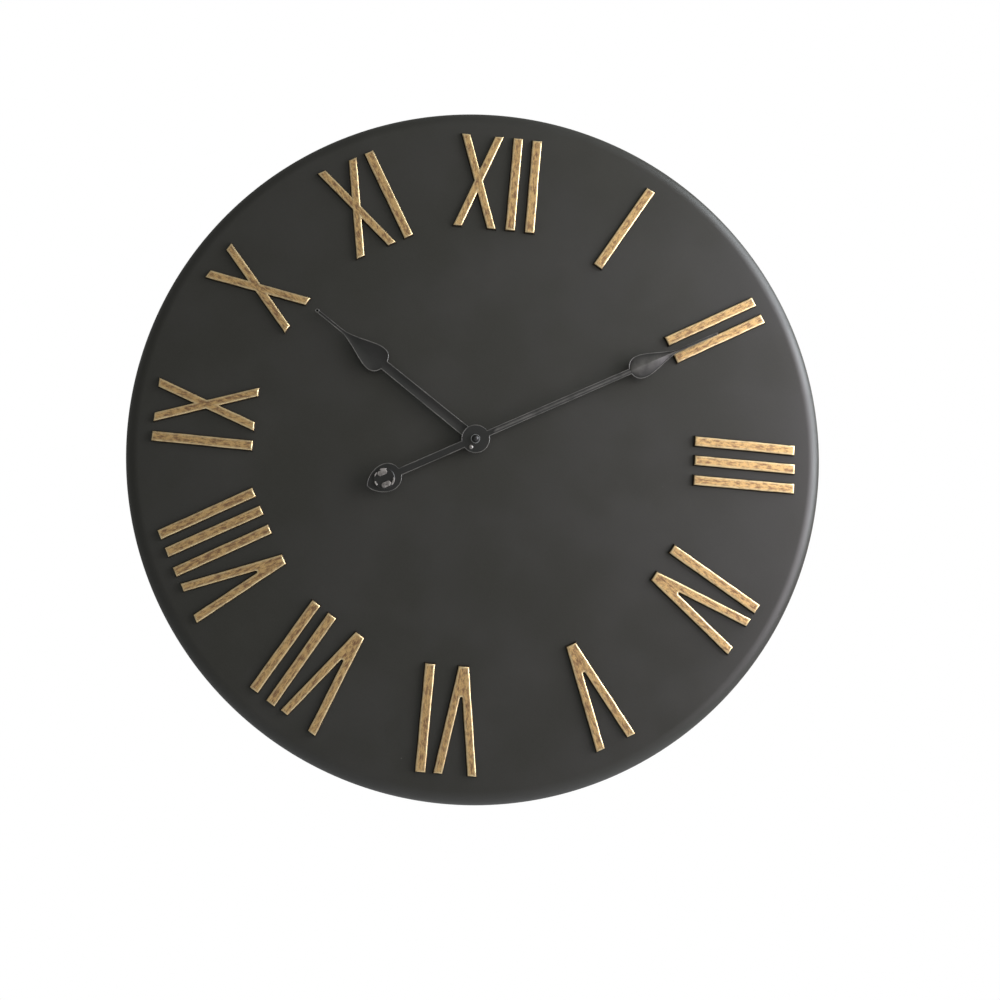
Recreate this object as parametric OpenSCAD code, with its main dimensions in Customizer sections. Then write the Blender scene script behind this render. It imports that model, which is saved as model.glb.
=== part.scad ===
// Round wall clock with a pressed steel dial, raised Roman numerals and a quartz movement.
// The front faces -Y, +X is to the right and +Z is up.  The origin is the centre of the
// hanging hole on the wall plane, so the clock's whole body lies in front of Y = 0.
// Every module below is drawn in the clock's own plane, with x to the right, y up and z
// from the wall towards the viewer, and stand_up() then turns it upright.

/* [Dial] */
// Outer diameter of the dial
dial_d = 600; // [540:5:760]
// Thickness of the pressed sheet
sheet_t = 0.6; // [0.5:0.1:1.2]
// Distance from the wall to the front of the dial
dial_depth = 25; // [25:1:40]
// Radius of the rounded shoulder between face and side
shoulder_r = 14; // [6:1:18]
// Outer radius of the rolled hem on the back edge
hem_r = 1.8; // [1.5:0.1:2.5]
// Thickness of the wall pads, which keep the hem off the wall
pad_t = 1.2; // [0.8:0.1:2]
// Side of a wall pad along the rim
pad_w = 16; // [10:1:30]

/* [Numerals] */
// Height of a numeral, from its inner to its outer end
numeral_h = 85.6; // [60:0.2:92]
// Distance from the outer end of a numeral to the edge of the dial
numeral_margin = 26.4; // [20:0.2:34]
// Thickness of the numerals
numeral_t = 3; // [1.5:0.1:5]
// Width of one upright stroke
stroke_w = 8.2; // [5:0.1:9]
// Width across a leaning stroke of a V or an X
limb_w = 7; // [4.5:0.1:8.5]
// Overall width of an X
x_w = 37.5; // [28:0.5:40]
// Overall width of a V
v_w = 35; // [28:0.5:38]
// Width of the flat foot of a V
v_foot_w = 8.5; // [7:0.5:13]
// Gap between two strokes, and between a stroke and an X
stroke_gap = 8.8; // [5:0.1:9]
// Gap between a stroke and a V, which is narrower because a V leans away
v_gap = 6.2; // [4:0.1:8]
// Radius of the studs that hold a numeral to the dial
stud_r = 1; // [0.8:0.1:1.4]
// Distance of a stud from the end of its numeral
stud_inset = 14; // [10:1:20]

/* [Hands] */
// Length of the hour hand, from the axis to its tip
hour_len = 178; // [150:1:182]
// Length of the minute hand, from the axis to its tip
minute_len = 229; // [190:1:240]
// Thickness of both hands
hand_t = 0.8; // [0.5:0.1:1]
// Clearance between the fixing nut and the hour hand, and between the two hands
hand_gap = 1.5; // [1:0.1:2.5]
// Direction of the hour hand, in degrees clockwise from XII
hour_angle = 304; // [0:1:359]
// Direction of the minute hand, in degrees clockwise from XII
minute_angle = 61; // [0:1:359]

/* [Movement] */
// Side of the square movement case
case_w = 56; // [54:1:68]
// Depth of the movement case
case_t = 16; // [16:0.5:18]
// Wall thickness of the movement case
case_wall = 1.2; // [1:0.1:1.4]
// Radius of the threaded bushing, which sets the hole in the dial
bushing_r = 4; // [3.8:0.1:5]
// Outer radius of the hour wheel's pipe
hour_pipe_r = 2.55; // [2.5:0.05:3.1]
// Radius of the minute arbor
minute_arbor_r = 1.75; // [1.6:0.05:1.85]
// Radial clearance of every arbor and pipe in its bearing
running_gap = 0.05; // [0.02:0.01:0.08]

/* [Hanger] */
// Height of the hanging hole above the axis of the hands
hang_h = 150; // [120:1:160]
// Radius of the round part of the keyhole
keyhole_r = 5; // [4.5:0.5:6]
// Width of the keyhole's slot
keyslot_w = 5; // [3.5:0.5:5]
// Length of the keyhole's slot above the centre of the hole
keyslot_len = 13; // [10:1:16]
// Thickness of the hanger's steel
hanger_t = 1.5; // [1:0.1:2]

/* [Hidden] */
$fn = 64;
eps = 0.01;
dial_r = dial_d / 2;
dial_back = dial_depth - sheet_t;
numeral_r = dial_r - numeral_margin - numeral_h;

// ---- levels of the movement, from the wall towards the viewer ----
gasket_t = 1;
case_front = dial_back - gasket_t;
case_back = case_front - case_t;
case_floor = case_front - case_wall;
cover_t = 1.2;
wheel_t = 1;
level_step = 1.5;
front_gap = 0.4;
bridge_gap = 0.6;
// level(1) is the hour wheel, nearest the dial, and level(6) the intermediate wheel
function level(n) = case_floor - front_gap - wheel_t - (n - 1) * level_step;
bridge_t = 1;
bridge_front = level(6) - bridge_gap;
bridge_back = bridge_front - bridge_t;
pivot_depth = 0.5;
pivot_end_gap = 0.1;
pivot_front = case_floor + pivot_depth;
arbor_r = 0.6;

// ---- levels in front of the dial ----
washer_t = 0.5;
washer_r = 9;
nut_t = 2.3;
nut_flats = 11;
spare_thread = 1.4;
bushing_top = dial_depth + washer_t + nut_t + spare_thread;
bushing_flange_r = 6;
flange_hole_gap = 0.5;
collet_flange_t = 1;
collet_flange_r = 6.5;
collet_hub_r = 3.8;
end_gap = 0.4;
hour_collet_z = bushing_top + end_gap;
hour_hand_z = hour_collet_z + collet_flange_t;
rivet_h = 0.3;
hour_pipe_top = hour_hand_z + hand_t + rivet_h;
minute_collet_z = hour_pipe_top + hand_gap;
minute_hand_z = minute_collet_z + collet_flange_t;
minute_hand_top = minute_hand_z + hand_t;
minute_arbor_top = minute_hand_top + rivet_h;
thread_r = 1.25;
thread_len = 2;
hand_nut_r = 3.4;
hand_nut_t = 1.4;
hand_nut_dome_r = 3;

// ---- outlines of the hands ----
hour_stick_w = 9.6;
hour_stick_end_w = 8.7;
hour_spade_len = 64;
hour_spade_w = 23.5;
hour_needle_len = 14;
hour_needle_w = 3;
hour_tip_r = 2;
hour_hub_r = 10;
minute_stick_w = 5.3;
minute_stick_end_w = 5;
minute_spade_len = 56;
minute_spade_w = 20.4;
minute_needle_len = 28;
minute_needle_w = 2.4;
minute_tip_r = 1.3;
minute_hub_r = 12.1;
tail_stick_w = 6.5;
leaf_start = 69;
leaf_len = 31;
leaf_w = 24;
leaf_power = 0.75;
spade_power = 2.6;
arrow_power = 2.1;
outline_steps = 28;
weight_r = 9;
weight_t = 1.6;
// distance of the counterweight's centre from the axis
weight_at = leaf_start + 0.48 * leaf_len;

// ---- gear train: module, teeth, and the place of each arbor ----
train_m = 0.25;
second_m = 0.32;
motion_m = 0.3;
centre_teeth = 64;
third_teeth = 60;
second_teeth = 40;
intermediate_teeth = 48;
small_teeth = 8;
cannon_teeth = 12;
motion_teeth = 36;
motion_pinion_teeth = 10;
hour_teeth = 40;
knob_teeth = 12;
third_turn = 60;
second_turn = 150;
intermediate_turn = 60;
rotor_turn = 15;
motion_turn = 200;
knob_turn = 200;
motion_dist = motion_m * (cannon_teeth + motion_teeth) / 2;
// the second pair of the motion work shares the first pair's centre distance
hour_m = 2 * motion_dist / (motion_pinion_teeth + hour_teeth);
function polar(d, turn) = [d * cos(turn), d * sin(turn)];
centre_at = [0, 0];
third_at = centre_at + polar(train_m * (centre_teeth + small_teeth) / 2, third_turn);
second_at = third_at + polar(train_m * (third_teeth + small_teeth) / 2, second_turn);
intermediate_at = second_at + polar(second_m * (second_teeth + small_teeth) / 2, intermediate_turn);
rotor_at = intermediate_at + polar(train_m * (intermediate_teeth + small_teeth) / 2, rotor_turn);
motion_at = centre_at + polar(motion_dist, motion_turn);
knob_at = motion_at + polar(motion_m * (motion_teeth + knob_teeth) / 2, knob_turn);
knob_arbor_r = 1.2;
motion_post_r = 0.8;
motion_neck_r = 1.1;
tooth_share = 0.4;
tooth_addendum = 0.8;
tooth_dedendum = 1.05;
tooth_tip_share = 0.5;
tooth_root_share = 1.35;

// ---- battery bay and chamber of the case ----
battery_r = 7.1;
battery_gap = 0.2;
bay_h = 2 * battery_r + 4 * battery_gap;
battery_len = 48.8;
battery_nub_r = 2.7;
battery_nub_len = 1.2;
contact_t = 0.6;
inner_w = case_w - 2 * case_wall;
bay_y = -case_w / 2 + case_wall + bay_h / 2;
bay_top = bay_y + bay_h / 2;
battery_z = case_floor - battery_r - battery_gap;
chamber_bottom = bay_top + case_wall;
chamber_h = case_w / 2 - case_wall - chamber_bottom;
case_corner_r = 3;
lid_bottom = bay_top + case_wall / 2;

// ---- train bridge and the three posts that carry it ----
bridge_post_r = 1.5;
bridge_min = [-23, chamber_bottom + 0.3];
bridge_max = [12.4, case_w / 2 - case_wall - 0.4];
bridge_cut_x = -15;
bridge_posts = [
    [-12, bridge_max[1] - 2],
    [10.4, bridge_min[1] + 1.7],
    [bridge_min[0] + 2.5, bridge_min[1] + 2]
];

// ---- motor and electronics ----
magnet_r = 2.5;
magnet_t = 2.4;
magnet_z = level(5);
stator_gap = 0.5;
stator_ring_r = 4.5;
stator_t = 1.2;
stator_z = level(5) + wheel_t + 0.2;
stator_arm_w = 3;
core_x = 21;
coil_z = stator_z + stator_t / 2;
bobbin_flange_r = 4.5;
bobbin_barrel_r = 2.5;
bobbin_flange_t = 0.8;
bobbin_end_gap = 0.3;
winding_r = 4;
core_bottom = chamber_bottom + 2.2;
arm_top = rotor_at[1] + stator_ring_r;
arm_x = 13;
bobbin_from = core_bottom + stator_arm_w + bobbin_end_gap;
bobbin_to = arm_top - stator_arm_w - bobbin_end_gap;
board_t = 0.8;
board_z = bridge_back - 0.4 - board_t;
board_min = [-25.5, 2];
board_max = [-9, 25.5];
chip_r = 3;
chip_t = 0.9;
crystal_r = 0.75;
crystal_len = 6;

// ---- hanger ----
hanger_w = 60;
hanger_h = 44;
hanger_low = -18;
hanger_flange = 16;
nut_ring_r = 4;
nut_ring_t = 0.6;
stud_hole_gap = 0.1;
pad_edge = 0.4;
pad_turns = [30, 150, 210, 270, 330];

// ---- numerals: letters of each hour, read clockwise with their tops outwards ----
LETTERS = ["i", "ii", "iii", "iv", "v", "vi", "vii", "viii", "ix", "x", "xi", "xii"];
function letter_w(c) = c == "i" ? stroke_w : c == "v" ? v_w : x_w;
function gap(a, b) = a == "v" || b == "v" ? v_gap : stroke_gap;
// left edge of letter k of a numeral, counted from the left edge of its first letter
function left_edge(t, k) = k == 0 ? 0 : left_edge(t, k - 1) + letter_w(t[k - 1]) + gap(t[k - 1], t[k]);
function numeral_w(t) = left_edge(t, len(t) - 1) + letter_w(t[len(t) - 1]);
function letter_x(t, k) = left_edge(t, k) + letter_w(t[k]) / 2 - numeral_w(t) / 2;
function two_digits(n) = n < 10 ? str("0", n) : str(n);
function numeral_name(hour, k) = str("numeral_", two_digits(hour), "_", LETTERS[hour - 1][k], k + 1);
NUMERAL_NODES = [for (hour = [1:12]) for (k = [0:len(LETTERS[hour - 1]) - 1]) numeral_name(hour, k)];

// ================= shared shapes =================

// turns the clock's plane upright and puts the hanging hole at the origin
module stand_up() {
    translate([0, 0, -hang_h]) rotate([90, 0, 0]) children();
}

module at(place, z) {
    translate([place[0], place[1], z]) children();
}

// turns a hand or numeral drawn pointing up to its place clockwise from XII
module clockwise(angle) {
    rotate([0, 0, -angle]) children();
}

module ring(r_out, r_in, h) {
    difference() {
        cylinder(r = r_out, h = h);
        translate([0, 0, -eps]) cylinder(r = r_in, h = h + 2 * eps);
    }
}

// rectangle with round corners, made of squares and circles so that its arcs stay true
module round_rect(w, h, r) {
    square([w - 2 * r, h], center = true);
    square([w, h - 2 * r], center = true);
    for (sx = [-1, 1]) for (sy = [-1, 1]) translate([sx * (w / 2 - r), sy * (h / 2 - r)]) circle(r = r);
}

// one corner of a tooth: radius, and half width of the tooth there
function tooth_point(r, half_w, side, turn) = polar(r, turn + side * asin(min(half_w / r, 0.95)));

// flat gear outline with straight-sided teeth, whose first tooth points along +x
module gear_2d(teeth, m) {
    half_w = PI * m * tooth_share / 2;
    pitch_r = m * teeth / 2;
    root_r = pitch_r - tooth_dedendum * m;
    tip_r = pitch_r + tooth_addendum * m;
    polygon([for (i = [0:teeth - 1]) for (p = [
        [root_r, tooth_root_share, -1], [pitch_r, 1, -1], [tip_r, tooth_tip_share, -1],
        [tip_r, tooth_tip_share, 1], [pitch_r, 1, 1], [root_r, tooth_root_share, 1]
    ]) tooth_point(p[0], half_w * p[1], p[2], i * 360 / teeth)]);
}

// gear turned so that a tooth points along `turn`
module tooth_gear(teeth, m, turn, h = wheel_t) {
    rotate([0, 0, turn]) linear_extrude(height = h) gear_2d(teeth, m);
}

// gear turned so that a gap faces a neighbour that lies along `turn`
module gap_gear(teeth, m, turn, h = wheel_t) {
    tooth_gear(teeth, m, turn + 180 / teeth, h);
}

// plain arbor from the train bridge to its pivot hole in the case
module arbor(r = arbor_r) {
    translate([0, 0, bridge_back]) cylinder(r = r, h = pivot_front - bridge_back);
}

// ================= dial =================

// the section of the pan: face, rounded shoulder, side and rolled hem
module pan_profile() {
    corner = [dial_r - shoulder_r, dial_depth - shoulder_r];
    hem = [dial_r - hem_r, pad_t + hem_r];
    translate([0, dial_back]) square([corner[0], sheet_t]);
    intersection() {
        translate(corner) difference() {
            circle(r = shoulder_r);
            circle(r = shoulder_r - sheet_t);
        }
        translate(corner) square(2 * shoulder_r);
    }
    translate([dial_r - sheet_t, hem[1]]) square([sheet_t, corner[1] - hem[1]]);
    intersection() {
        translate(hem) difference() {
            circle(r = hem_r);
            circle(r = hem_r - sheet_t);
        }
        translate([hem[0] - 2 * hem_r, hem[1] - 2 * hem_r]) square([4 * hem_r, 2 * hem_r]);
    }
}

// runs its children at every numeral stud, in the clock's plane
module at_studs() {
    for (hour = [1:12]) clockwise(hour * 30)
        for (k = [0:len(LETTERS[hour - 1]) - 1])
            translate([letter_x(LETTERS[hour - 1], k), numeral_r])
                for (p = stud_places(LETTERS[hour - 1][k])) translate(p) children();
}

module dial_pan() {
    color([0.19, 0.19, 0.18]) stand_up() difference() {
        rotate_extrude($fn = 180) pan_profile();
        translate([0, 0, dial_back - 1]) {
            cylinder(r = bushing_r + running_gap, h = sheet_t + 2);
            at_studs() cylinder(r = stud_r + stud_hole_gap, h = sheet_t + 2, $fn = 24);
        }
    }
}

// self-gripping rings pushed on the studs behind the dial
module stud_push_nuts() {
    color("silver") stand_up() translate([0, 0, dial_back - nut_ring_t]) at_studs() difference() {
        cylinder(r = nut_ring_r, h = nut_ring_t, $fn = 32);
        translate([0, 0, -eps]) cylinder(r = stud_r, h = nut_ring_t + 2 * eps, $fn = 24);
    }
}

// soft pads on the hem, which rest on the wall
module wall_pads() {
    color([0.1, 0.1, 0.1]) stand_up() for (turn = pad_turns) rotate([0, 0, turn]) intersection() {
        ring(dial_r - pad_edge, dial_r - 2 * hem_r + pad_edge, pad_t);
        translate([0, -pad_w / 2, -1]) cube([2 * dial_r, pad_w, pad_t + 2]);
    }
}

// top-hat strip welded to the back of the dial, with the keyhole in its raised part
module hanger_bracket() {
    leg_x = hanger_w / 2 - hanger_t;
    color("silver") stand_up() translate([0, hang_h, 0]) {
        difference() {
            translate([-hanger_w / 2, hanger_low, 0]) cube([hanger_w, hanger_h, hanger_t]);
            translate([0, 0, -1]) cylinder(r = keyhole_r, h = hanger_t + 2);
            translate([-keyslot_w / 2, 0, -1]) cube([keyslot_w, keyslot_len, hanger_t + 2]);
            translate([0, keyslot_len, -1]) cylinder(r = keyslot_w / 2, h = hanger_t + 2);
        }
        for (side = [-1, 1]) {
            leg = side > 0 ? leg_x : -hanger_w / 2;
            foot = side > 0 ? leg_x : -hanger_w / 2 - hanger_flange + hanger_t;
            translate([leg, hanger_low, 0]) cube([hanger_t, hanger_h, dial_back]);
            translate([foot, hanger_low, dial_back - hanger_t]) cube([hanger_flange, hanger_h, hanger_t]);
        }
    }
}

// ================= numerals =================

// width of a leaning stroke along the baseline, so that it is limb_w across
function leaning_w(run) = limb_w * norm([run, numeral_h]) / numeral_h;
x_stroke_w = leaning_w(x_w - limb_w);
v_lean = (v_w - v_foot_w) / 2;
v_stroke_w = leaning_w(v_lean);
// a V's crotch is cast blunt: it stops where the gap between the arms is this wide on each side
v_crotch_half = 1;
v_crotch = numeral_h - (v_w / 2 - v_stroke_w - v_crotch_half) * numeral_h / v_lean;

module letter_i() {
    translate([-stroke_w / 2, 0]) square([stroke_w, numeral_h]);
}

module letter_x() {
    left = -x_w / 2;
    for (side = [-1, 1]) scale([side, 1])
        polygon([
            [left, 0], [left + x_stroke_w, 0],
            [-left, numeral_h], [-left - x_stroke_w, numeral_h]
        ]);
}

module letter_v() {
    top = v_w / 2;
    polygon([
        [-v_foot_w / 2, 0], [v_foot_w / 2, 0], [top, numeral_h], [top - v_stroke_w, numeral_h],
        [v_crotch_half, v_crotch], [-v_crotch_half, v_crotch],
        [-top + v_stroke_w, numeral_h], [-top, numeral_h]
    ]);
}

module letter(c) {
    if (c == "i") letter_i();
    if (c == "v") letter_v();
    if (c == "x") letter_x();
}

// two stud places on the middle of a letter's strokes
function stud_places(c) =
    let (low = stud_inset, high = numeral_h - stud_inset)
    c == "i" ? [[0, low], [0, high]] :
    c == "v" ? [[0, low], [-v_w / 2 + v_stroke_w / 2 + v_lean * stud_inset / numeral_h, high]] :
    [for (y = [low, high]) [(x_w - x_stroke_w) * (y / numeral_h - 0.5), y]];

module numeral_piece(hour, k) {
    c = LETTERS[hour - 1][k];
    color([0.72, 0.56, 0.33]) stand_up() clockwise(hour * 30)
        translate([letter_x(LETTERS[hour - 1], k), numeral_r]) {
            translate([0, 0, dial_depth]) linear_extrude(height = numeral_t) letter(c);
            for (p = stud_places(c)) at(p, dial_back - nut_ring_t - 1)
                cylinder(r = stud_r, h = dial_depth - dial_back + nut_ring_t + 1 + numeral_t / 2, $fn = 24);
        }
}

// ================= movement case =================

module movement_case() {
    hollow_t = case_floor - case_back + eps;
    color([0.08, 0.08, 0.09]) stand_up() {
        difference() {
            translate([0, 0, case_back]) linear_extrude(height = case_t)
                round_rect(case_w, case_w, case_corner_r);
            // gear chamber, and the recess above it that the cover fills
            translate([-inner_w / 2, chamber_bottom, case_back - eps]) cube([inner_w, chamber_h, hollow_t]);
            translate([-case_w, lid_bottom, case_back - 1]) cube([2 * case_w, case_w, cover_t + 1]);
            // battery bay, open to the back
            translate([-inner_w / 2, bay_y - bay_h / 2, case_back - eps]) cube([inner_w, bay_h, hollow_t]);
            translate([0, 0, case_floor - 1]) cylinder(r = bushing_r, h = case_wall + 2);
            for (p = [third_at, second_at, intermediate_at, rotor_at]) at(p, case_floor - 1)
                cylinder(r = arbor_r + running_gap, h = 1 + pivot_depth + pivot_end_gap);
            at(knob_at, case_floor - 1)
                cylinder(r = knob_arbor_r + running_gap, h = 1 + pivot_depth + pivot_end_gap);
        }
        // fixed post that the motion wheel turns on
        at(motion_at, level(2) - front_gap)
            cylinder(r = motion_post_r, h = case_floor - level(2) + front_gap + eps);
        // posts that carry the train bridge
        for (p = bridge_posts) at(p, bridge_front)
            cylinder(r = bridge_post_r, h = case_floor - bridge_front + eps);
    }
}

// back plate of the gear train
module train_bridge() {
    color([0.85, 0.83, 0.72]) stand_up() difference() {
        translate([0, 0, bridge_back]) linear_extrude(height = bridge_t) polygon([
            bridge_min, [bridge_max[0], bridge_min[1]], bridge_max, [bridge_cut_x, bridge_max[1]]
        ]);
        for (p = [centre_at, third_at, second_at, intermediate_at, rotor_at])
            at(p, bridge_back - 1) cylinder(r = arbor_r + running_gap, h = bridge_t + 2);
        at(knob_at, bridge_back - 1) cylinder(r = knob_arbor_r + running_gap, h = bridge_t + 2);
    }
}

// lid over the gear chamber
module movement_cover() {
    color([0.1, 0.1, 0.11]) stand_up() difference() {
        translate([0, 0, case_back]) linear_extrude(height = cover_t) intersection() {
            round_rect(case_w, case_w, case_corner_r);
            translate([-case_w, lid_bottom]) square([2 * case_w, case_w]);
        }
        at(knob_at, case_back - 1) cylinder(r = knob_arbor_r + running_gap, h = cover_t + 2);
    }
}

module rubber_gasket() {
    gasket_r = 20;
    color([0.05, 0.05, 0.05]) stand_up() translate([0, 0, case_front])
        ring(gasket_r, bushing_flange_r + flange_hole_gap, gasket_t);
}

module threaded_bushing() {
    color([0.8, 0.65, 0.35]) stand_up() difference() {
        union() {
            translate([0, 0, case_floor]) cylinder(r = bushing_r, h = bushing_top - case_floor);
            translate([0, 0, case_front]) cylinder(r = bushing_flange_r, h = gasket_t);
        }
        translate([0, 0, case_floor - 1])
            cylinder(r = hour_pipe_r + running_gap, h = bushing_top - case_floor + 2);
    }
}

module dial_washer() {
    color("silver") stand_up() translate([0, 0, dial_depth])
        ring(washer_r, bushing_r + running_gap, washer_t);
}

module fixing_nut() {
    color([0.8, 0.65, 0.35]) stand_up() translate([0, 0, dial_depth + washer_t]) difference() {
        cylinder(r = nut_flats / sqrt(3), h = nut_t, $fn = 6);
        translate([0, 0, -eps]) cylinder(r = bushing_r, h = nut_t + 2 * eps);
    }
}

// ================= hands =================

// half width of a spade at share u of its length, round at u = 0 and drawn out at u = 1
function spade_half(u, power, half_w) =
    let (peak = 0.5 / (0.5 + power))
    half_w * sqrt(u / peak) * pow((1 - u) / (1 - peak), power);

module spade_2d(start, length, width, power) {
    // points crowd towards the round end, where the outline turns fastest
    side = [for (i = [1:outline_steps - 1]) let (u = pow(i / outline_steps, 2))
        [spade_half(u, power, width / 2), start + u * length]];
    polygon(concat(
        [[0, start]], side, [[0, start + length]],
        [for (i = [len(side) - 1:-1:0]) [-side[i][0], side[i][1]]]
    ));
}

module taper_2d(from, to, w_from, w_to) {
    polygon([[-w_from / 2, from], [w_from / 2, from], [w_to / 2, to], [-w_to / 2, to]]);
}

module hour_outline() {
    needle = hour_len - hour_tip_r;
    spade = hour_len - hour_needle_len - hour_spade_len;
    circle(r = hour_hub_r);
    taper_2d(0, spade + 2, hour_stick_w, hour_stick_end_w);
    spade_2d(spade, hour_spade_len, hour_spade_w, spade_power);
    taper_2d(spade + hour_spade_len * 0.7, needle, hour_needle_w, hour_needle_w);
    translate([0, needle]) circle(r = hour_tip_r);
}

module minute_outline() {
    needle = minute_len - minute_tip_r;
    spade = minute_len - minute_needle_len - minute_spade_len;
    circle(r = minute_hub_r);
    taper_2d(0, spade + 1, minute_stick_w, minute_stick_end_w);
    spade_2d(spade, minute_spade_len, minute_spade_w, arrow_power);
    taper_2d(spade + minute_spade_len * 0.7, needle, minute_needle_w, minute_needle_w);
    translate([0, needle]) circle(r = minute_tip_r);
    rotate([0, 0, 180]) {
        taper_2d(0, leaf_start + 2, tail_stick_w, tail_stick_w);
        spade_2d(leaf_start, leaf_len, leaf_w, leaf_power);
    }
}

module hour_hand() {
    color([0.06, 0.06, 0.06]) stand_up() clockwise(hour_angle) difference() {
        translate([0, 0, hour_hand_z]) linear_extrude(height = hand_t) hour_outline();
        translate([0, 0, hour_hand_z - 1]) cylinder(r = collet_hub_r, h = hand_t + 2);
    }
}

module minute_hand() {
    color([0.05, 0.05, 0.05]) stand_up() clockwise(minute_angle) difference() {
        translate([0, 0, minute_hand_z]) linear_extrude(height = hand_t) minute_outline();
        translate([0, 0, minute_hand_z - 1]) cylinder(r = collet_hub_r, h = hand_t + 2);
    }
}

// flanged bush pressed into a hand
module collet(bore_r, z, top) {
    difference() {
        union() {
            translate([0, 0, z]) cylinder(r = collet_flange_r, h = collet_flange_t);
            translate([0, 0, z]) cylinder(r = collet_hub_r, h = top - z);
        }
        translate([0, 0, z - 1]) cylinder(r = bore_r, h = top - z + 2);
    }
}

module hour_hand_collet() {
    color("silver") stand_up() collet(hour_pipe_r, hour_collet_z, hour_pipe_top);
}

module minute_hand_collet() {
    color("silver") stand_up() collet(minute_arbor_r, minute_collet_z, minute_arbor_top);
}

module tail_counterweight() {
    color([0.2, 0.2, 0.2]) stand_up() clockwise(minute_angle + 180)
        translate([0, weight_at, minute_hand_top]) cylinder(r = weight_r, h = weight_t);
}

// small domed nut on the threaded end of the minute arbor
module hand_nut() {
    color([0.1, 0.1, 0.1]) stand_up() translate([0, 0, minute_arbor_top]) difference() {
        union() {
            cylinder(r = hand_nut_r, h = hand_nut_t);
            translate([0, 0, hand_nut_t]) intersection() {
                sphere(r = hand_nut_dome_r);
                cylinder(r = hand_nut_r, h = hand_nut_r);
            }
        }
        translate([0, 0, -eps]) cylinder(r = thread_r, h = thread_len + eps);
    }
}

// ================= wheels =================

module hour_wheel() {
    color([0.9, 0.88, 0.8]) stand_up() difference() {
        union() {
            translate([0, 0, level(1)]) gap_gear(hour_teeth, hour_m, motion_turn);
            translate([0, 0, level(1)]) cylinder(r = hour_pipe_r, h = hour_pipe_top - level(1));
        }
        translate([0, 0, level(1) - 1])
            cylinder(r = minute_arbor_r + running_gap, h = hour_pipe_top - level(1) + 2);
    }
}

// centre wheel, its cannon pinion and the arbor that carries the minute hand
module centre_wheel() {
    color([0.85, 0.8, 0.55]) stand_up() {
        translate([0, 0, level(3)]) gap_gear(centre_teeth, train_m, third_turn);
        translate([0, 0, level(2)]) tooth_gear(cannon_teeth, motion_m, motion_turn);
        translate([0, 0, level(3)]) cylinder(r = minute_arbor_r - 0.5, h = level(1) - level(3));
        translate([0, 0, level(1) - 0.3]) cylinder(r = minute_arbor_r, h = minute_arbor_top - level(1) + 0.3);
        translate([0, 0, bridge_back]) cylinder(r = arbor_r, h = level(3) - bridge_back + eps);
        translate([0, 0, minute_arbor_top - eps]) cylinder(r = thread_r, h = thread_len);
    }
}

module motion_wheel() {
    color([0.9, 0.88, 0.8]) stand_up() at(motion_at, 0) difference() {
        union() {
            translate([0, 0, level(2)]) gap_gear(motion_teeth, motion_m, motion_turn + 180);
            translate([0, 0, level(2)]) cylinder(r = motion_neck_r, h = level_step + eps);
            translate([0, 0, level(1)]) tooth_gear(motion_pinion_teeth, hour_m, motion_turn + 180);
        }
        translate([0, 0, level(2) - 1])
            cylinder(r = motion_post_r + running_gap, h = level_step + wheel_t + 2);
    }
}

// wheel and pinion on one arbor: the pinion drives the slower neighbour along `towards`,
// and the wheel is driven by the faster neighbour along `from`
module train_wheel(place, teeth, m, n, from, pinion_m, towards) {
    stand_up() at(place, 0) {
        translate([0, 0, level(n)]) gap_gear(teeth, m, from);
        translate([0, 0, level(n)])
            cylinder(r = pinion_m * (small_teeth / 2 - tooth_dedendum), h = level_step + eps);
        translate([0, 0, level(n - 1)]) tooth_gear(small_teeth, pinion_m, towards + 180);
        arbor();
    }
}

module third_wheel() {
    color([0.85, 0.8, 0.55]) train_wheel(third_at, third_teeth, train_m, 4, second_turn, train_m, third_turn);
}

module second_wheel() {
    color([0.9, 0.88, 0.8])
        train_wheel(second_at, second_teeth, second_m, 5, intermediate_turn, train_m, second_turn);
}

module intermediate_wheel() {
    color([0.9, 0.88, 0.8])
        train_wheel(intermediate_at, intermediate_teeth, train_m, 6, rotor_turn, second_m, intermediate_turn);
}

module rotor() {
    color([0.3, 0.3, 0.32]) stand_up() at(rotor_at, 0) {
        translate([0, 0, level(6)]) tooth_gear(small_teeth, train_m, rotor_turn + 180);
        translate([0, 0, magnet_z]) cylinder(r = magnet_r, h = magnet_t);
        arbor();
    }
}

module setting_knob() {
    knob_r = 6;
    knob_t = 2.5;
    grip_count = 24;
    knob_front = case_back - 0.4;
    color([0.12, 0.12, 0.13]) stand_up() at(knob_at, 0) {
        translate([0, 0, knob_front - knob_t]) difference() {
            cylinder(r = knob_r, h = knob_t);
            for (i = [0:grip_count - 1]) rotate([0, 0, i * 360 / grip_count])
                translate([knob_r, 0, -eps]) cylinder(r = 0.4, h = knob_t + 2 * eps, $fn = 16);
        }
        translate([0, 0, knob_front - eps]) cylinder(r = knob_arbor_r, h = pivot_front - knob_front + eps);
        translate([0, 0, level(2)]) tooth_gear(knob_teeth, motion_m, knob_turn + 180);
    }
}

// ================= motor and electronics =================

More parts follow.
